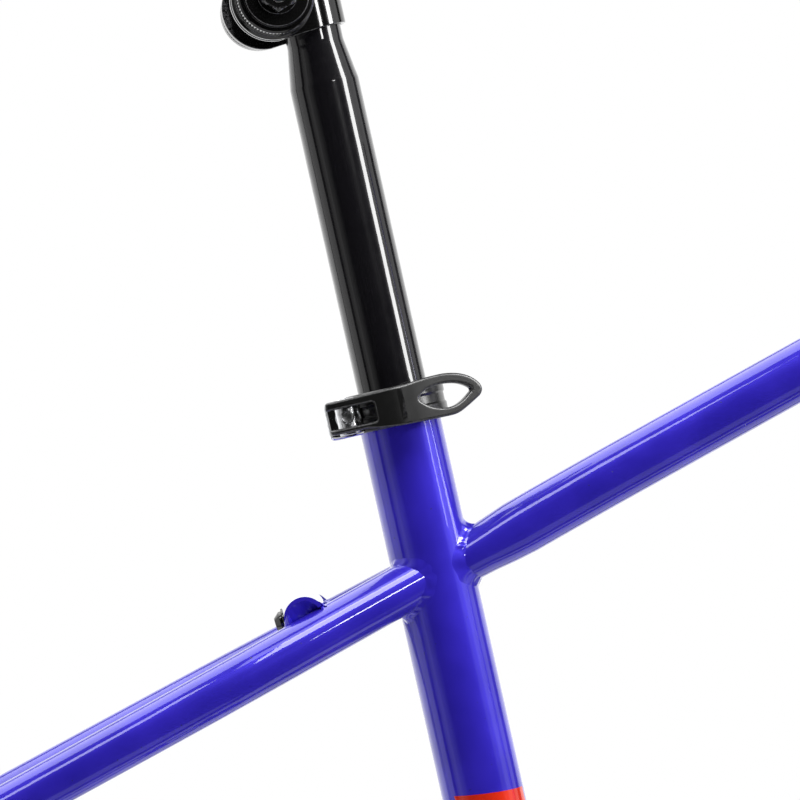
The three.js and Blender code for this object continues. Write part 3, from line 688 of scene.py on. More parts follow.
def mark_edges(mesh):
    """Stores how sharply each vertex stands out, for wear, in the attribute "edge"."""
    bm = bmesh.new()
    bm.from_mesh(mesh)
    values = []
    for vert in bm.verts:
        turns = [e.calc_face_angle_signed(0) for e in vert.link_edges if len(e.link_faces) == 2]
        values.append(min(1.0, max(0.0, max(turns, default=0) / 0.3)))
    bm.free()
    attribute = mesh.attributes.new("edge", "FLOAT", "POINT")
    attribute.data.foreach_set("value", values)


def piece(name, form, material, body, *replaced, smooth=32):
    """Makes a form a Blender mesh in metres that rides on a body and stands for CAD nodes."""
    mesh = new_mesh(name, form, MM)
    mesh.shade_smooth()
    mesh.set_sharp_from_angle(angle=math.radians(smooth))
    mark_edges(mesh)
    mesh.materials.append(material)
    made = new_object(name, mesh)
    weighted = made.modifiers.new("normals", "WEIGHTED_NORMAL")
    weighted.keep_sharp = True
    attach(made, body)
    if replaced:
        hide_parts(*replaced)


def built(node, form, material, body="main_frame", smooth=32):
    """The piece that stands for one CAD node and is named after it."""
    piece(f"{node}_form", form, material, body, node, smooth=smooth)


def painted(node, form):
    built(node, form, FRAME_PAINT)


def weld(name, form):
    piece(name, form, FRAME_PAINT, "main_frame", smooth=60)


# ---- Tubes of the frame -------------------------------------------------------------------------

seat_top = seat_up * SEAT_TUBE["top"]
seat_joint = seat_up * TOP_TUBE["seat_joint"]
head_joint = HEAD_TOP.origin - head_up * HEAD_TUBE["top_joint"]
down_joint = HEAD_LOW.origin + head_up * HEAD_TUBE["low_joint"]


def top_tube_size(share):
    """The top tube is flattened a little where it meets the seat tube."""
    length = np.linalg.norm(head_joint - seat_joint)
    blend = np.clip((np.asarray(share, float) * length - 14) / TOP_TUBE["flat_length"], 0, 1)
    blend = blend * blend * (3 - 2 * blend)
    radius = TOP_TUBE["radius"]
    wide = radius * (TOP_TUBE["wide"] + (1 - TOP_TUBE["wide"]) * blend)
    tall = radius * (TOP_TUBE["flat"] + (1 - TOP_TUBE["flat"]) * blend)
    return wide, tall


def top_tube_path():
    """A straight line that sinks a little just before the seat tube."""
    shares = np.linspace(0, 1, 90)
    line = seat_joint + (head_joint - seat_joint) * shares[:, None]
    left = np.clip(1 - shares * np.linalg.norm(head_joint - seat_joint) / TOP_TUBE_DROOP["length"], 0, 1)
    return line - np.array([0, 0, TOP_TUBE_DROOP["depth"]]) * (left * left * (3 - 2 * left))[:, None]


def stay_path(plan, height, side):
    return smooth_path([(x, side * y, height(x)) for x, y in plan])


def stay_size(stay):
    def size(share):
        radius = stay["radius"] + (stay["end_radius"] - stay["radius"]) * np.asarray(share, float) ** 2
        return radius, radius

    return size


def seatstay_height(x):
    return SEATSTAY["at_z"] + SEATSTAY["slope"] * (x - SEATSTAY["at_x"])


def chainstay_height(x):
    return CHAINSTAY["end_z"] * x / CHAINSTAY["end_x"]


plate_middle = DROPOUT["inner"] + DROPOUT["thickness"] / 2
SEATSTAY_PLAN = [(-55, 3.9), (-86, 15.2), (-118, 26.9), (-134, 32), (-152, 36), (-200, 43), (-300, 57),
                 (SEATSTAY["end_x"], plate_middle)]
CHAINSTAY_PLAN = [(0, 17), (-50, 27.5), (-85, 35.5), (-112, 41.3), (-140, 44.5), (-200, 49), (-300, 59),
                  (CHAINSTAY["end_x"], plate_middle)]

seat_tube = straight((0, 0, 0), seat_top, even(SEAT_TUBE["radius"]))
shell = straight((0, -SHELL["half_width"], 0), (0, SHELL["half_width"], 0), even(SHELL["radius"]))
head_tube = straight(HEAD_LOW.origin, HEAD_TOP.origin, even(HEAD_TUBE["radius"]))
top_tube = Tube(top_tube_path(), top_tube_size)
down_tube = straight((0, 0, 0), down_joint, even(DOWN_TUBE["radius"]))
sides = {"left": 1, "right": -1}
seatstays, chainstays = (
    {word: Tube(stay_path(plan, height, side), stay_size(stay)) for word, side in sides.items()}
    for plan, height, stay in (
        (SEATSTAY_PLAN, seatstay_height, SEATSTAY),
        (CHAINSTAY_PLAN, chainstay_height, CHAINSTAY),
    )
)


def bridge_tube(x, z, radius, stays):
    """A straight cross tube whose ends lie on the middles of the two stays."""
    ends = []
    for stay in stays:
        nearest = np.abs(stay.path[:, 0] - x).argmin()
        ends.append((x, stay.path[nearest][1], z))
    return straight(ends[0], ends[1], even(radius))


seat_bridge = bridge_tube(
    SEAT_BRIDGE["x"], SEAT_BRIDGE["z"], SEAT_BRIDGE["radius"], seatstays.values())
chain_bridge = bridge_tube(
    CHAIN_BRIDGE["x"], chainstay_height(CHAIN_BRIDGE["x"]), CHAIN_BRIDGE["radius"], chainstays.values())


def seat_tube_form():
    """The tube's top is slotted at the back, with a round hole where the slot ends."""
    form = seat_tube.form(start=[shell], wall=SEAT_TUBE["radius"] - SEAT_TUBE["bore"], segments=192, rows=60)
    half = SEAT_TUBE["slot_width"] / 2
    outer = SEAT_TUBE["radius"] + 2
    slot = block(-outer, -6, -half, half, SEAT_TUBE["slot_bottom"], SEAT_TUBE["top"] + 2)
    drill = Axes((0, 0, SEAT_TUBE["slot_bottom"]), (0, 0, 1), (-1, 0, 0))
    hole = pin(half * 2, 6, outer).placed(drill)
    return cut(form, slot.placed(SEAT), hole.placed(SEAT))


painted("seat_tube", seat_tube_form())
painted("top_tube", top_tube.form([seat_tube], [head_tube], 1.1, 160, 60))
painted("down_tube", down_tube.form([shell, seat_tube], [head_tube], 1.2, 176, 40))


def head_tube_form():
    """Slightly thicker bands at both ends carry the pressed cups."""
    radius, bore, length = HEAD_TUBE["radius"], HEAD_TUBE["bore"], HEAD_TUBE["length"]
    band, band_length = radius + 0.7, 11
    corners = [
        (bore, 0), (band, 0, 0.6), (band, band_length, 1.5), (radius, band_length + 2.5, 2),
        (radius, length - band_length - 2.5, 2), (band, length - band_length, 1.5), (band, length, 0.6),
        (bore, length, 0.3), (bore, 0, 0.3),
    ]
    axes = Axes(HEAD_LOW.origin, (1, 0, 0), head_up)
    return lathe(rounded(corners), 160).placed(axes)


painted("head_tube", head_tube_form())


def shell_form():
    half, radius, bore = SHELL["half_width"], SHELL["radius"], SHELL["bore"]
    corners = [(bore, -half, 0.5), (radius, -half, 0.9), (radius, half, 0.9), (bore, half, 0.5)]
    return closed_ring(corners, 160).placed(ACROSS)


painted("bottom_bracket_shell", shell_form())

for word in sides:
    painted(f"seatstay_{word}", seatstays[word].form([seat_tube], segments=128, rows=150, dome=5))
    painted(f"chainstay_{word}", chainstays[word].form([shell], segments=128, rows=150, dome=5))

for name, tube, stays, wall in (
    ("seatstay_bridge", seat_bridge, seatstays, 1.6),
    ("chainstay_bridge", chain_bridge, chainstays, 1.2),
):
    painted(name, tube.form([stays["left"]], [stays["right"]], wall, 96, 12))

# ---- Welds --------------------------------------------------------------------------------------

weld("top_tube_rear_weld", bead(top_tube, [seat_tube], seed=1))
weld("top_tube_front_weld", bead(top_tube, [head_tube], False, seed=2))
weld("down_tube_front_weld", bead(down_tube, [head_tube], False, seed=3))
weld("down_tube_rear_weld", bead(down_tube, [shell, seat_tube], seed=4))
weld("seat_tube_foot_weld", bead(seat_tube, [shell], seed=5))
for word in sides:
    weld(f"seatstay_{word}_weld", bead(seatstays[word], [seat_tube], leg=1.7, main_leg=2.2, seed=6))
    weld(f"chainstay_{word}_weld", bead(chainstays[word], [shell], leg=1.9, main_leg=2.4, seed=7))
for name, tube, stays in (
    ("seatstay_bridge", seat_bridge, seatstays), ("chainstay_bridge", chain_bridge, chainstays),
):
    first, second = stays.values()
    welds = bead(tube, [first], True, 2, 2, 3.2, 0.3, 8) + bead(tube, [second], False, 2, 2, 3.2, 0.3, 9)
    weld(f"{name}_welds", welds)

# ---- Plates at the rear axle --------------------------------------------------------------------

LOCAL_SIDE = Axes((0, 0, 0), (1, 0, 0), (0, -1, 0))
stay_along = unit((1, 0, SEATSTAY["slope"]))
stay_across = np.array([-stay_along[2], 0, stay_along[0]])


def dropout_outline(side):
    """The plate reaches from the axle slot to the ends of both stays."""
    x, z, slot, arm, edge = AXLE["x"], AXLE["z"], AXLE["slot_radius"], 7.4, 0.9
    end = np.array([SEATSTAY["end_x"], 0, seatstay_height(SEATSTAY["end_x"])]) - stay_along * edge
    upper, lower = end + stay_across * arm, end - stay_across * arm
    front, mouth = CHAINSTAY["end_x"] - edge, z - 16
    moves = [
        ("arc", x, z, slot, 180, 0), (x + slot, mouth), (x + 13, mouth + 2),
        (front, CHAINSTAY["end_z"] - arm), (front, CHAINSTAY["end_z"] + arm),
        (x + 15, z + 12, lower[0], lower[2]), (upper[0], upper[2]),
        (x - 12, z + 24, x - DROPOUT["eye_radius"], z + 2),
    ]
    if side < 0:
        hx, hz, radius = HANGER["x"], HANGER["z"], HANGER["radius"]
        moves += [(x - 17, z - 12), (hx - radius, hz + 2), ("arc", hx, hz, radius, 180, 315)]
        moves += [(x - slot - 1.5, mouth - 6)]
    else:
        moves += [(x - DROPOUT["eye_radius"], z - 12, x - 9, mouth)]
    return outline((x - slot, mouth), *moves)


for word, side in sides.items():
    low, high = sorted((-side * DROPOUT["inner"], -side * (DROPOUT["inner"] + DROPOUT["thickness"])))
    holes = [circle(HANGER["x"], HANGER["z"], HANGER["hole_radius"])] if side < 0 else []
    form = plate([dropout_outline(side), *holes], low, high, bevel=0.9)
    painted(f"dropout_{word}", form.placed(LOCAL_SIDE))


def disc_tab_form():
    """A plate on the left seat stay with two bosses for the brake."""
    x, radius, up = DISC_TAB["start_x"], DISC_TAB["hole_radius"], DISC_TAB["holes_up"]
    start = np.array([x, 0, seatstay_height(x)])

    def at(along, across):
        point = start + stay_along * along + stay_across * across
        return point[0], point[2]

    corners = [at(*pair) for pair in (
        (0, 6), (74, 6), (72, 12), (66, 25), (56, 27), (40, 20), (26, 20), (12, 27), (2, 25), (-2, 12))]
    holes = [circle(*at(along, up), radius) for along in DISC_TAB["holes_at"]]
    low, high = DISC_TAB["far"] - plate_middle, DISC_TAB["near"] - plate_middle
    form = plate([rounded(corners, 3.0, closed=True), *holes], low, high, bevel=0.7).placed(LOCAL_SIDE)
    for along in DISC_TAB["holes_at"]:
        x, z = at(along, up)
        ring = lathe(rounded([(radius, 0), (6.6, 0, 0.3), (6.6, 1.2, 0.4), (radius, 1.2)]), 64)
        form = form + ring.placed(Axes((x, -low, z), (1, 0, 0), (0, 1, 0)))
    return form


painted("disc_brake_tab", disc_tab_form())

# ---- Fittings -----------------------------------------------------------------------------------


def threads(pitch, depth):
    """Radius change for a screw thread."""

    def wobble(radius, height, angle):
        phase = (height / pitch - angle / TURN) % 1
        return -depth * np.abs(2 * phase - 1) + 0 * radius

    return wobble


def hexagon(across_flats):
    """Radius change that trims a round form to six flats."""

    def wobble(radius, height, angle):
        flat = across_flats / 2 / np.cos((angle % (TURN / 6)) - TURN / 12)
        return np.minimum(radius, flat) - radius + 0 * height

    return wobble


def socket_head(radius, height, key, dome=0.55):
    """A button head from height 0 up, with a six-sided key hole."""
    mouth, corner = key * 0.62, key * 0.575
    outside = [
        (0, 0), (radius, 0, 0.2), (radius, height * 0.35, 0.6), (radius * dome, height, 0.5), (mouth, height)]
    inside = [
        (mouth, height), (corner, height - 0.35, 0.05), (corner, height - 1.8, 0.1), (0, height - 2.1)]
    return lathe(rounded(outside), 96) + lathe(rounded(inside), 96, hexagon(key))


down_along = unit(down_joint)
down_out = np.array([-down_along[2], 0, down_along[0]])


def on_down_tube(distance, offset, y=0):
    return down_along * distance + down_out * offset + np.array([0, y, 0])


for word, distance in BOTTLE_BOSSES.items():
    top = DOWN_TUBE["radius"] + 3
    profile = rounded([
        (2.6, top - 10, 0.2), (2.6, top, 0.3), (5, top, 0.5), (5, top - 1.4, 0.3), (6.4, top - 3.0, 0.6),
        (6.6, top - 4.4, 0), (6.6, top - 6), (2.6, top - 10)])
    boss = lathe(profile, 80).placed(Axes(on_down_tube(distance, 0), down_along, down_out))
    built(f"bottle_boss_{word}", boss, STEEL)

for word, side in sides.items():
    at = on_down_tube(CABLE_STOPS["at"], -CABLE_STOPS["drop"], side * (DOWN_TUBE["radius"] + 1))
    corners = [(2.2, 0, 0.2), (4, 0, 0.5), (4, 14, 0.8), (1.1, 14, 0.2), (1.1, 11, 0.1), (2.2, 11, 0.1)]
    stop = cut(closed_ring(corners, 64), block(0, 6, -0.9, 0.9, -1, 15))
    foot = lathe(rounded([(0, 0), (5.2, 0, 0.4), (5.2, 1.2, 0.5), (0, 2.2)]), 48)
    foot = foot.placed(Axes((-4.6, 0, 7), (0, 1, 0), (1, 0, 0)))
    painted(f"cable_stop_{word}", (stop + foot).placed(Axes(at, (0, side, 0), down_along)))


def guide_form():
    """The plastic block under the shell, hollowed to fit it, with two open cable grooves."""
    edge = rounded([(-11, -25), (11, -25), (11, -12), (-11, -12)], 1.6, closed=True)
    body = plate([edge], -14, 14, 0.8).placed(LOCAL_SIDE)
    tools = [pin(SHELL["radius"] + GAP, -40, 40, 160).placed(ACROSS)]
    for y in (-7.5, 7.5):
        tools.append(pin(1.8, -20, 20, 40).placed(Axes((0, y, -25.2), (0, 1, 0), (1, 0, 0))))
    tools.append(pin(2.8, -40, -5, 48))
    return cut(body, *tools)


built("bb_cable_guide", guide_form(), PLASTIC)
screw = socket_head(4.2, 2.6, 3.0).placed(Axes((0, 0, -25.4), (1, 0, 0), (0, 0, -1)))
threaded = [(2.4, z) for z in np.linspace(-25.9, -21.2, 48)]
stem = lathe([(0, -26), *threaded, (0, -21)], 48, threads(0.8, 0.3))
built("bb_guide_screw", screw + stem, STEEL)

bolt_tilt = math.radians(18)
bolt_out = np.array([-math.cos(bolt_tilt), 0, -math.sin(bolt_tilt)])
bridge_bolt_axes = Axes((SEAT_BRIDGE["x"], 0, SEAT_BRIDGE["z"]), (0, 1, 0), bolt_out)
seat_height = SEAT_BRIDGE["radius"] + GAP
washer_top = seat_height + 0.8
bolt_form = socket_head(4.3, 3.4, 3.0).placed(bridge_bolt_axes.moved((0, 0, washer_top)))
washer_form = lathe(rounded([
    (0, seat_height), (5.2, seat_height, 0.2), (5.2, washer_top, 0.2), (0, washer_top)]), 96)
built("bridge_bolt", bolt_form + washer_form.placed(bridge_bolt_axes), CLAMP_BLACK)

# ---- Headset ------------------------------------------------------------------------------------

CUP = [
    (14.8, -12, 0.3), (16.7, -12, 0.4), (16.7, 0.1, 0), (19.6, 0.1, 0.4), (21.5, 3.2, 1.0), (21.5, 8.6, 0.3),
    (21.1, 9.0, 0.2), (21.5, 9.4, 0.3), (21.5, 12, 0.6), (18.2, 12, 0.3), (18.2, 4, 0.2), (14.8, 4, 0.3)]
RACE = [
    (15.2, 4.4, 0.3), (17.9, 4.4, 0.3), (17.9, 11.3, 0.5), (17.1, 11.3, 0.1), (17.0, 10.9, 0.1),
    (16.0, 10.9, 0.1), (15.9, 11.3, 0.1), (15.2, 11.3, 0.5)]


for word, axes in (("upper", HEAD_TOP), ("lower", HEAD_LOW)):
    built(f"headset_{word}_cup", closed_ring(CUP, 160).placed(axes), SATIN_BLACK)
    built(f"headset_{word}_bearing", closed_ring(RACE).placed(axes), STEEL, f"{word}_bearing")

# ---- Bottom bracket -----------------------------------------------------------------------------

BB_CUP = [
    (15.4, 22, 0.2), (16.7, 22, 0.4), (16.7, 34.0, 0), (20, 34.0, 0.4), (20, 36.6, 0.7), (17.2, 36.6, 0.3),
    (17.2, 35.6, 0.2), (13.6, 35.6, 0.2), (13.6, 36.6, 0.2), (11, 36.6, 0.5), (11, 34.6, 0.2),
    (15.4, 34.6, 0.2)]
BB_RACE = [
    (8.8, 26, 0.3), (15.1, 26, 0.3), (15.1, 34.2, 0.5), (13.6, 34.2, 0.2), (13.4, 33.7, 0.1),
    (10.6, 33.7, 0.1), (10.4, 34.2, 0.2), (8.8, 34.2, 0.4)]
BB_SLEEVE = [(13, -21.7, 0.3), (16.7, -21.7, 0.3), (16.7, 21.7, 0.3), (13, 21.7, 0.3)]


def tool_notches(radius, height, angle):
    """Sixteen shallow splines round a cup's flange."""
    rim = (radius > 19) & (height > 34.2)
    notch = np.clip(np.cos(16 * angle) * 4 - 2.2, 0, 1)
    return -1.3 * rim * notch


for word, side in sides.items():
    axes = Axes((0, 0, 0), (1, 0, 0), (0, side, 0))
    built(f"bb_cup_{word}", closed_ring(BB_CUP, 320, tool_notches).placed(axes), SATIN_BLACK)
    built(f"bb_bearing_{word}", closed_ring(BB_RACE).placed(axes), STEEL)

built("bb_sleeve", closed_ring(BB_SLEEVE).placed(ACROSS), STEEL)


def spindle_form():
    """A round axle whose ends narrow to square tapers with a threaded hole in each."""
    rows = []
    angles = np.linspace(0, TURN, 128, endpoint=False)
    square = 1 / np.maximum(np.abs(np.cos(angles)), np.abs(np.sin(angles)))
    half = [
        (0, 50), (3.4, 50), (3.4, 56.2), (4.0, 57), (5.8, 57), (6.3, 56.4), (6.7, 38.6), (8.4, 37.2),
        (8.4, 36), (8.4, 0)]
    for sign in (1, -1):
        for radius, height in half if sign > 0 else half[:-1][::-1]:
            flat = radius * (np.minimum(square, 1.22) if 5 < radius < 8 else np.ones(128))
            end = np.full(128, sign * height)
            rows.append(np.stack([flat * np.cos(angles), flat * np.sin(angles), end], -1))
    return grid(np.array(rows)).placed(ACROSS)


built("bb_spindle", spindle_form(), STEEL, "spindle", smooth=25)

# ---- Seat clamp ---------------------------------------------------------------------------------
# Forms here are drawn in the seat tube's axes: x across it and forward, y to the left, z up it.

SKEWER_LINE = Axes((SKEWER["v"], 0, SKEWER["u"]), (1, 0, 0), (0, 1, 0))
PIVOT_LINE = Axes((SKEWER["v"], CAM["y"], 0), (1, 0, 0), (0, 0, 1))


def collar_form():
    bottom, top, radius, end = COLLAR["bottom"], COLLAR["top"], COLLAR["radius"], COLLAR["lug_end"]
    tube_bore, post_bore, seat = SEAT_TUBE["radius"] + GAP, POST["radius"] + GAP, SEAT_TUBE["top"] + GAP
    band = closed_ring([
        (tube_bore, bottom, 0.3), (radius, bottom, 1.0), (radius, bottom + 5.2, 0.5),
        (radius - 0.5, bottom + 6.0, 0.4), (radius - 0.5, top - 6.0, 0.4), (radius, top - 5.2, 0.5),
        (radius, top - 1.5, 0.8), (radius - 1.6, top, 0.8), (post_bore, top, 0.6), (post_bore, seat, 0.2),
        (tube_bore, seat, 0.2),
    ], 192)
    low, high = bottom + 0.8, top - 0.8
    lugs = plate([outline(
        (-12, low), (-12, high), (end + 5, high), (end, high, end, high - 5),
        (end, low + 5), (end, low, end + 5, low))], -COLLAR["far"], -COLLAR["near"], 0.7)
    half_slit = COLLAR["slit"] / 2
    return cut(
        united(band, lugs.placed(LOCAL_SIDE)),
        pin(tube_bore, 300, seat, 192),
        pin(post_bore, 300, 360, 192),
        block(end - 5, 0, -half_slit, half_slit, bottom - 5, top + 5),
        pin(SKEWER["radius"] + GAP, -30, 30).placed(SKEWER_LINE),
    )


built("seat_clamp_collar", collar_form().placed(SEAT), SATIN_BLACK, "seat_clamp", smooth=38)


def cam_washer_form():
    """A rounded plate with full edges, dished for the cam."""
    back, front, bottom, top = (WASHER[key] for key in ("back", "front", "bottom", "top"))
    corners = [(back, bottom), (front, bottom), (front, top), (back, top)]
    edge = rounded(corners, WASHER["corner"] / 1.4, closed=True, steps=12)
    holes = [circle(SKEWER["v"], SKEWER["u"], 2.8)]
    full_edge = 2.1
    blank = plate([edge, *holes], -WASHER["outer"] - 2 * full_edge - 0.1, -WASHER["outer"], full_edge, 8)
    rear = block(-40, 0, WASHER["inner"], 0, 300, 360)
    dish = pin(CAM["radius"] + CAM["offset"] + 0.4, 300, 360, 160).placed(PIVOT_LINE)
    relief = pin(COLLAR["radius"] + GAP, 300, 360, 192)
    return cut(blank.placed(LOCAL_SIDE), rear, dish, relief)


built("seat_clamp_cam_washer", cam_washer_form().placed(SEAT), CHROME, "seat_clamp")


def skewer_form():
    """The near end is dished with a rolled rim; the far end carries the nut's thread."""
    near, far, radius = CAM["y"] - 4.0, 22, SKEWER["radius"]
    dish = [(radius * share, near + 0.5 - 0.45 * share ** 2) for share in np.linspace(0, 0.7, 8)]
    plain = [*dish, (radius - 0.5, near), (radius - 0.2, near + 0.05), (radius, near + 0.35)]
    threaded = [(radius, y) for y in np.linspace(8, far - 0.5, 150)]
    profile = [*plain, *threaded, (radius - 0.4, far), (0, far)]

    def thread(r, height, angle):
        return np.where((height > 9) & (r > 1), threads(0.8, 0.28)(r, height, angle), 0)

    return lathe(profile, 64, thread).placed(SKEWER_LINE)


built("seat_clamp_skewer", skewer_form().placed(SEAT), TURNED, "seat_clamp")


def barrel_form():
    low, high = SKEWER["u"] - 6.7, SKEWER["u"] + 6.7
    body = lathe(rounded([(0, low), (4.2, low, 0.5), (4.2, high, 0.5), (0, high)]), 128).placed(PIVOT_LINE)
    hole = pin(SKEWER["radius"] + 0.12, -40, 0).placed(SKEWER_LINE)
    return cut(body, hole)


built("seat_clamp_barrel", barrel_form().placed(SEAT), TURNED, "seat_clamp")


def nut_form():
    """A round thumb nut with a fluted rim and a domed, closed end."""
    corners = [
        (2.8, 16.3), (7.2, 16.3, 0.4), (8, 17.1, 0.5), (8, 21.6, 0.8), (6.6, 23.2, 1.2), (4.4, 24, 1.5),
        (0, 24)]
    profile = np.vstack([[(0, 22.5), (2.8, 22.5)], rounded(corners)])

    def flutes(radius, height, angle):
        rim = np.clip((radius - 6.9) / 0.8, 0, 1)
        return -0.55 * rim * np.clip(np.cos(18 * angle) * 1.5 - 0.2, 0, 1)

    return lathe(profile, 360, flutes).placed(SKEWER_LINE)


built("seat_clamp_nut", nut_form().placed(SEAT), CHROME, "clamp_nut")

# ---- Lever --------------------------------------------------------------------------------------

blade_line = smooth_path([
    (-27, -25.5), (-24.5, -26.4), (-21, -26.9), (-10, -26.9), (0, -26.9), (4, -26), (8, -24.4), (20, -18.6),
    (36, -10.8)], 40)


def blade_form():
    """The blade's outline, with its window and finger hole, bent round to follow the blade's line."""
    window_low, window_high = SKEWER["u"] - CAM["slot"] / 2, SKEWER["u"] + CAM["slot"] / 2
    front = CAM["window_front"]
    edge = outline(
        (-26.2, window_low), (front - 1.2, window_low), (front, window_low, front, window_low + 1.2),
        (front, window_high - 1.2), (front, window_high, front - 1.2, window_high), (-26.2, window_high),
        (-26.2, 336.2), (-26.2, 337.9, -24.4, 337.9), (-4, 338.2, 5, 338.6), (13, 339.7, 19.5, 339.5),
        (28.5, 338.8, 32.4, 333.4), (34.4, 330.3, 31.6, 328.1), (27, 325.4, 24.4, 324.2),
        (22.2, 323, 18.5, 323.1), (11, 323.2, 4, 323.4), (-6, 323.7, -12, 325.2), (-24.2, 325.2),
        (-26.2, 325.2, -26.2, 326.4))
    hole = outline(
        (9, 332.6), (11.5, 335.8, 18.4, 335.6), (25, 335.4, 28.6, 332), (29.4, 330.9, 28, 330.2),
        (23.5, 326.4, 19.5, 326.4), (13, 326.8, 9.2, 331), (8.6, 331.8, 9, 332.6))
    half = BLADE["thickness"] / 2
    form = sliced(plate([edge, hole[:-1]], -half, half, bevel=1.0, steps=4), 0, np.arange(-25, 34, 1.0))
    along, across, depth = form.points.T
    slope = np.gradient(blade_line[:, 1], blade_line[:, 0])
    tilt = np.arctan(np.interp(along, blade_line[:, 0], slope))
    middle = np.interp(along, blade_line[:, 0], blade_line[:, 1])
    form.points = np.stack([along + depth * np.sin(tilt), middle - depth * np.cos(tilt), across], -1)
    return form


def head_forms():
    """Two cheeks round the barrel, and the web that joins them in front of the window."""
    back, front, y = BLADE["back"] + 0.25, BLADE["head_front"], CAM["y"] + CAM["offset"]
    web = [(front, back), (front, -25.6), (-3, -25.4, -8, -20.6)]
    cheek = outline((SKEWER["v"], back), *web, ("arc", SKEWER["v"], y, CAM["radius"], 30, 269))
    hole = circle(SKEWER["v"], CAM["y"], 4.4)
    half = CAM["height"] / 2
    for low, high in ((1.2 - half, -CAM["slot"] / 2), (CAM["slot"] / 2, half)):
        yield plate([cheek, hole], SKEWER["u"] + low, SKEWER["u"] + high, 0.8, 4)
    bridge = outline((CAM["window_front"], back), *web)
    yield plate([bridge], SKEWER["u"] - CAM["slot"] / 2 - 1, SKEWER["u"] + CAM["slot"] / 2 + 1, 0.3, 2)


lever_form = united(blade_form(), *head_forms())
built("seat_clamp_lever", lever_form.placed(SEAT), SATIN_BLACK, "clamp_lever", smooth=38)

# ---- Seatpost -----------------------------------------------------------------------------------


def post_form():
    radius, top_radius, wall = POST["radius"], POST["top_radius"], POST["wall"]
    bottom, low, high, top = POST["bottom"], POST["taper_start"], POST["taper_end"], POST["top"]
    corners = [(radius - wall, bottom, 0.3), (radius, bottom, 0.7)]
    for mark in (288, 291):
        corners += [(radius, mark - 0.35, 0.1), (radius - 0.15, mark, 0.1), (radius, mark + 0.35, 0.1)]
    corners += [
        (radius, low, 6), (top_radius, high, 9), (top_radius, top, 0.6), (top_radius - wall, top, 0.4),
        (top_radius - wall, high, 9), (radius - wall, low, 6),
    ]
    return closed_ring(corners, 192, steps=10)


built("seatpost", post_form().placed(SEAT), POST_BLACK, "post")

# ---- Saddle clamp -------------------------------------------------------------------------------


def strap_form():
    """A steel band round the front of the post whose two ends spread into round cheeks."""
    bolt, disc = SADDLE["bolt"], SADDLE["disc"]
    middle = (SADDLE["band_inner"] + SADDLE["band_outer"]) / 2
    half = (SADDLE["band_outer"] - SADDLE["band_inner"]) / 2
    cheek_x = bolt - disc * np.cos(np.linspace(0.04, math.pi / 2, 40))
    rear = [(x, middle, 0, 1) for x in (*cheek_x, *np.linspace(bolt + 1, -0.5, 10))]
    turn = np.linspace(math.pi / 2, -math.pi / 2, 49)
    front = [(middle * math.cos(a), middle * math.sin(a), math.cos(a), math.sin(a)) for a in turn]
    far = [(x, -y, nx, -ny) for x, y, nx, ny in rear[::-1]]
    rows = []
    for x, y, nx, ny in rear + front + far:
        if x < bolt:
            top = math.sqrt(max(disc ** 2 - (x - bolt) ** 2, 0.36))
            low = -top
        else:
            share = (x - bolt) / (SADDLE["band_outer"] + 1 - bolt)
            top, low = 15.95 - 3.45 * share, -15.95 + 2.95 * share
        section = rounded([(-half, low), (half, low), (half, top), (-half, top)], 0.55, closed=True, steps=4)
        rows.append([(x + nx * depth, y + ny * depth, height) for depth, height in section])
    rows = np.array(rows)
    first, last = rows[0].mean(0), rows[-1].mean(0)
    ends = [np.repeat(point[None, None], rows.shape[1], 1) for point in (first, last)]
    return grid(np.concatenate([ends[0], rows, ends[1]]))


built("saddle_clamp_strap", strap_form().placed(STRAP), CLAMP_BLACK, "saddle_clamp")

INNER_CUP = [
    (0, 13.6), (15.8, 13.6, 0.5), (15.8, 16.0, 0.5), (14.7, 16.6, 0.3), (14.7, 19.2, 0.3), (14.2, 19.6, 0.2),
    (14.2, 21.8, 0.4), (0, 21.8)]
OUTER_CUP = [
    (0, 23), (14.8, 23, 0.4), (14.8, 26.4, 0.6), (14.0, 27.0, 0.3), (12.6, 27.2, 0.2), (12.3, 29.2, 0.5),
    (0, 29.2)]
CLAMP_WASHER = [(0, 29.4), (7.9, 29.4, 0.2), (7.9, 30.4, 0.3), (0, 30.4)]
CLAMP_NUT = [
    (0, 30.4), (6.9, 30.4, 0), (7.6, 31.0, 0), (7.6, 34.4, 0), (6.4, 35.0, 0), (3.9, 35.0, 0.3), (3.6, 34.6)]


def serrated(low, high):
    """Fine teeth round part of a cup's rim."""

    def wobble(radius, height, angle):
        rim = (height > low) & (height < high) & (radius > 13.5)
        return -0.22 * rim * (0.5 + 0.5 * np.cos(72 * angle))

    return wobble


NUT_TURN = Axes((0, 0, 0), (math.cos(math.pi / 6), math.sin(math.pi / 6), 0), (0, 0, 1))

for word, side in sides.items():
    axes = TILT if side > 0 else Axes(TILT.origin, TILT.rows[0], -TILT.rows[2])
    rail_at = TILT.origin + bolt_axis * side * SADDLE["rail"] + level_up * SADDLE["groove_up"]
    rail_line = Axes(rail_at, level_up, np.cross(bolt_axis, level_up))
    rail = pin(SADDLE["rail_radius"], -30, 30, 96).placed(rail_line)
    for name, profile, teeth in (("inner", INNER_CUP, (19.4, 22)), ("outer", OUTER_CUP, (22.9, 24.4))):
        cup = lathe(rounded(profile), 360, serrated(*teeth)).placed(axes)
        built(f"rail_cup_{name}_{word}", cut(cup, rail), CLAMP_BLACK, "rail_clamp", smooth=38)
    washer = lathe(rounded(CLAMP_WASHER), 96)
    nut = lathe(rounded(CLAMP_NUT), 96, hexagon(13)).placed(NUT_TURN)
    built(f"rail_clamp_nut_{word}", (washer + nut).placed(axes), CLAMP_BLACK, "rail_clamp", smooth=25)


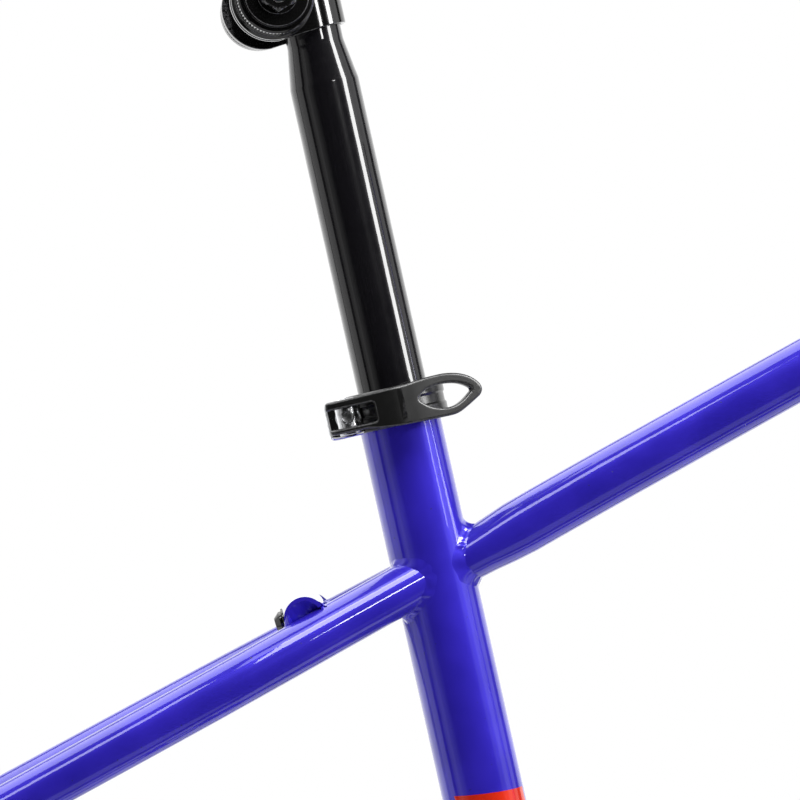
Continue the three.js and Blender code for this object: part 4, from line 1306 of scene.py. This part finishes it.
def rail_bolt_form():
    """A bolt threaded only at its two ends."""
    shank = [(3.5, z) for z in np.linspace(-34.8, 34.8, 480)]
    profile = [(0, -36), (2.2, -36), (3.1, -35.4), *shank, (3.1, 35.4), (2.2, 36), (0, 36)]

    def thread(radius, height, angle):
        return np.where((radius > 3.3) & (np.abs(height) > 28), threads(1.0, 0.35)(radius, height, angle), 0)

    return lathe(profile, 48, thread)


built("rail_clamp_bolt", rail_bolt_form().placed(TILT), STEEL, "rail_clamp")

# ---- Decal --------------------------------------------------------------------------------------


def decal_form(side):
    """A plain slanting band of red film on one side of the seat tube."""
    rows = []
    for down in np.linspace(0, 1, 60):
        rear, front = -44 + 62 * down, 74 - 4 * down
        angles = np.radians(np.linspace(rear, front, 48))
        height = BAND["top"] - BAND["length"] * down - 1.6 * np.sin(angles)
        shells = []
        for radius in (SEAT_TUBE["radius"] + BAND["film"], SEAT_TUBE["radius"] - 0.3):
            shells.append(np.stack([radius * np.sin(angles), -side * radius * np.cos(angles), height], -1))
        rows.append(np.vstack([shells[0], shells[1][::-1]]))
    rows = np.array(rows)
    caps = [(row + row[::-1])[None] / 2 for row in (rows[0], rows[-1])]
    return grid(np.concatenate([caps[0], rows, caps[1]])).placed(SEAT)


for word, side in (("right", 1), ("left", -1)):
    piece(f"seat_tube_band_{word}", decal_form(side), DECAL_RED, "main_frame")

# ---- Floor, light and camera --------------------------------------------------------------------

FLOOR = dict(z=-299, radius=3500)
VIEW = dict(x=-70.8, z=325.5, distance=1500, width=309.6)
CLUSTER = Vector((VIEW["x"], 0, VIEW["z"])) * MM

# Panels: azimuth, elevation, distance, width, height, strength.
PANELS = {
    "key": (26, 56, 1.5, 0.9, 0.6, 30),
    "strip_right": (69.5, 28, 1.36, 0.33, 0.78, 57),
    "strip_right_end": (70.5, 10, 1.22, 0.08, 0.10, 16),
    "spot_right": (30.5, 18, 1.9, 0.26, 0.13, 80),
    "strip_left": (-35, 46, 1.6, 0.24, 0.6, 19),
    "overhead": (10, 68, 1.8, 1.0, 0.5, 10),
}


def floor():
    bm = bmesh.new()
    bmesh.ops.create_circle(bm, cap_ends=True, segments=96, radius=FLOOR["radius"] * MM)
    mesh = bpy.data.meshes.new("floor")
    bm.to_mesh(mesh)
    bm.free()
    made = new_object("floor", mesh)
    made.location.z = FLOOR["z"] * MM
    nodes = Nodes("floor_paint")
    nodes.set(Roughness=0.9)
    nodes.link(nodes.ramp(nodes.noise(60, 3), (0.3, 0.66), (0.7, 0.68)), nodes.shader.inputs["Base Color"])
    mesh.materials.append(nodes.material)
    made.visible_glossy = False


def around(azimuth, elevation, distance):
    """A point round the seat cluster: azimuth 0 is the camera's side, 90 is ahead of the bicycle."""
    a, e = math.radians(azimuth), math.radians(elevation)
    way = Vector((math.sin(a) * math.cos(e), -math.cos(a) * math.cos(e), math.sin(e)))
    return CLUSTER + way * distance


def panel(name, azimuth, elevation, distance, width, height, strength):
    """A rectangular softbox that faces the seat cluster."""
    light = bpy.data.lights.new(name, "AREA")
    light.shape = "RECTANGLE"
    light.size, light.size_y = width, height
    light.energy = strength * width * height
    made = new_object(name, light)
    made.location = around(azimuth, elevation, distance)
    made.rotation_mode = "QUATERNION"
    made.rotation_quaternion = (CLUSTER - made.location).to_track_quat("-Z", "Y")
    made.visible_camera = False


# Softboxes: azimuth from and to, its softness, elevation from and to, its softness, brightness.
SOFTBOXES = (
    (125, 250, 3, -36, 33, 5, 1.3),
    (250, 281, 3, -36, 40, 6, 0.8),
    (287, 306, 3, -36, 46, 6, 0.25),
    (287, 324, 14, -36, 46, 6, 0.3),
    (57, 74, 2, -36, 50, 8, 0.3),
    (72, 113, 3, -36, 50, 8, 0.85),
    (190, 290, 4, 36, 90, 5, 3.3),
    (0, 190, 4, 62, 90, 4, 0.7),
    (-10, 60, 3, -90, -38, 3, 0.55),
    (297, 370, 3, -90, -38, 3, 0.55),
    (73, 297, 3, -90, -38, 3, 1.1),
)


def surroundings():
    """A dark room in front, softboxes around and a bright backdrop behind; the camera sees plain white."""
    world = bpy.data.worlds.new("studio")
    bpy.context.scene.world = world
    world.use_nodes = True
    tree = world.node_tree
    tree.nodes.clear()

    def math_node(operation, *values):
        node = tree.nodes.new("ShaderNodeMath")
        node.operation = operation
        for socket, value in zip(node.inputs, values):
            if isinstance(value, bpy.types.NodeSocket):
                tree.links.new(value, socket)
            else:
                socket.default_value = value
        return node.outputs[0]

    def edge(distance, soft):
        return math_node("MINIMUM", 1, math_node("MAXIMUM", 0, math_node("DIVIDE", distance, soft)))

    def band(value, low, high, soft):
        rise = edge(math_node("SUBTRACT", value, low), soft)
        return math_node("MULTIPLY", rise, edge(math_node("SUBTRACT", high, value), soft))

    place = tree.nodes.new("ShaderNodeTexCoord").outputs["Generated"]
    parts = tree.nodes.new("ShaderNodeSeparateXYZ")
    tree.links.new(place, parts.inputs[0])
    x, y, z = parts.outputs
    back = math_node("ARCTAN2", math_node("MULTIPLY", x, -1), y)
    azimuth = math_node("ADD", math_node("DEGREES", back), 180)
    height = math_node("DEGREES", math_node("ARCSINE", z))
    total = 0.006
    for left, right, side_soft, low, high, end_soft, strength in SOFTBOXES:
        across, upward = band(azimuth, left, right, side_soft), band(height, low, high, end_soft)
        shape = math_node("MULTIPLY", across, upward)
        total = math_node("ADD", total, math_node("MULTIPLY", shape, strength))
    seen = tree.nodes.new("ShaderNodeLightPath").outputs["Is Camera Ray"]
    final = math_node("ADD", math_node("MULTIPLY", total, math_node("SUBTRACT", 1, seen)), seen)
    background = tree.nodes.new("ShaderNodeBackground")
    background.inputs["Color"].default_value = (1, 1, 1, 1)
    tree.links.new(final, background.inputs["Strength"])
    output = tree.nodes.new("ShaderNodeOutputWorld")
    tree.links.new(background.outputs[0], output.inputs[0])


def camera():
    data = bpy.data.cameras.new("camera")
    data.sensor_width = 36
    data.lens = 36 * VIEW["distance"] / VIEW["width"]
    data.clip_start, data.clip_end = 0.05, 50
    made = new_object("camera", data)
    made.location = Vector((VIEW["x"], -VIEW["distance"], VIEW["z"])) * MM
    made.rotation_euler = (math.pi / 2, 0, 0)
    bpy.context.scene.camera = made


floor()
surroundings()
camera()
for name, setting in PANELS.items():
    panel(name, *setting)
bpy.context.scene.view_settings.view_transform = "Standard"
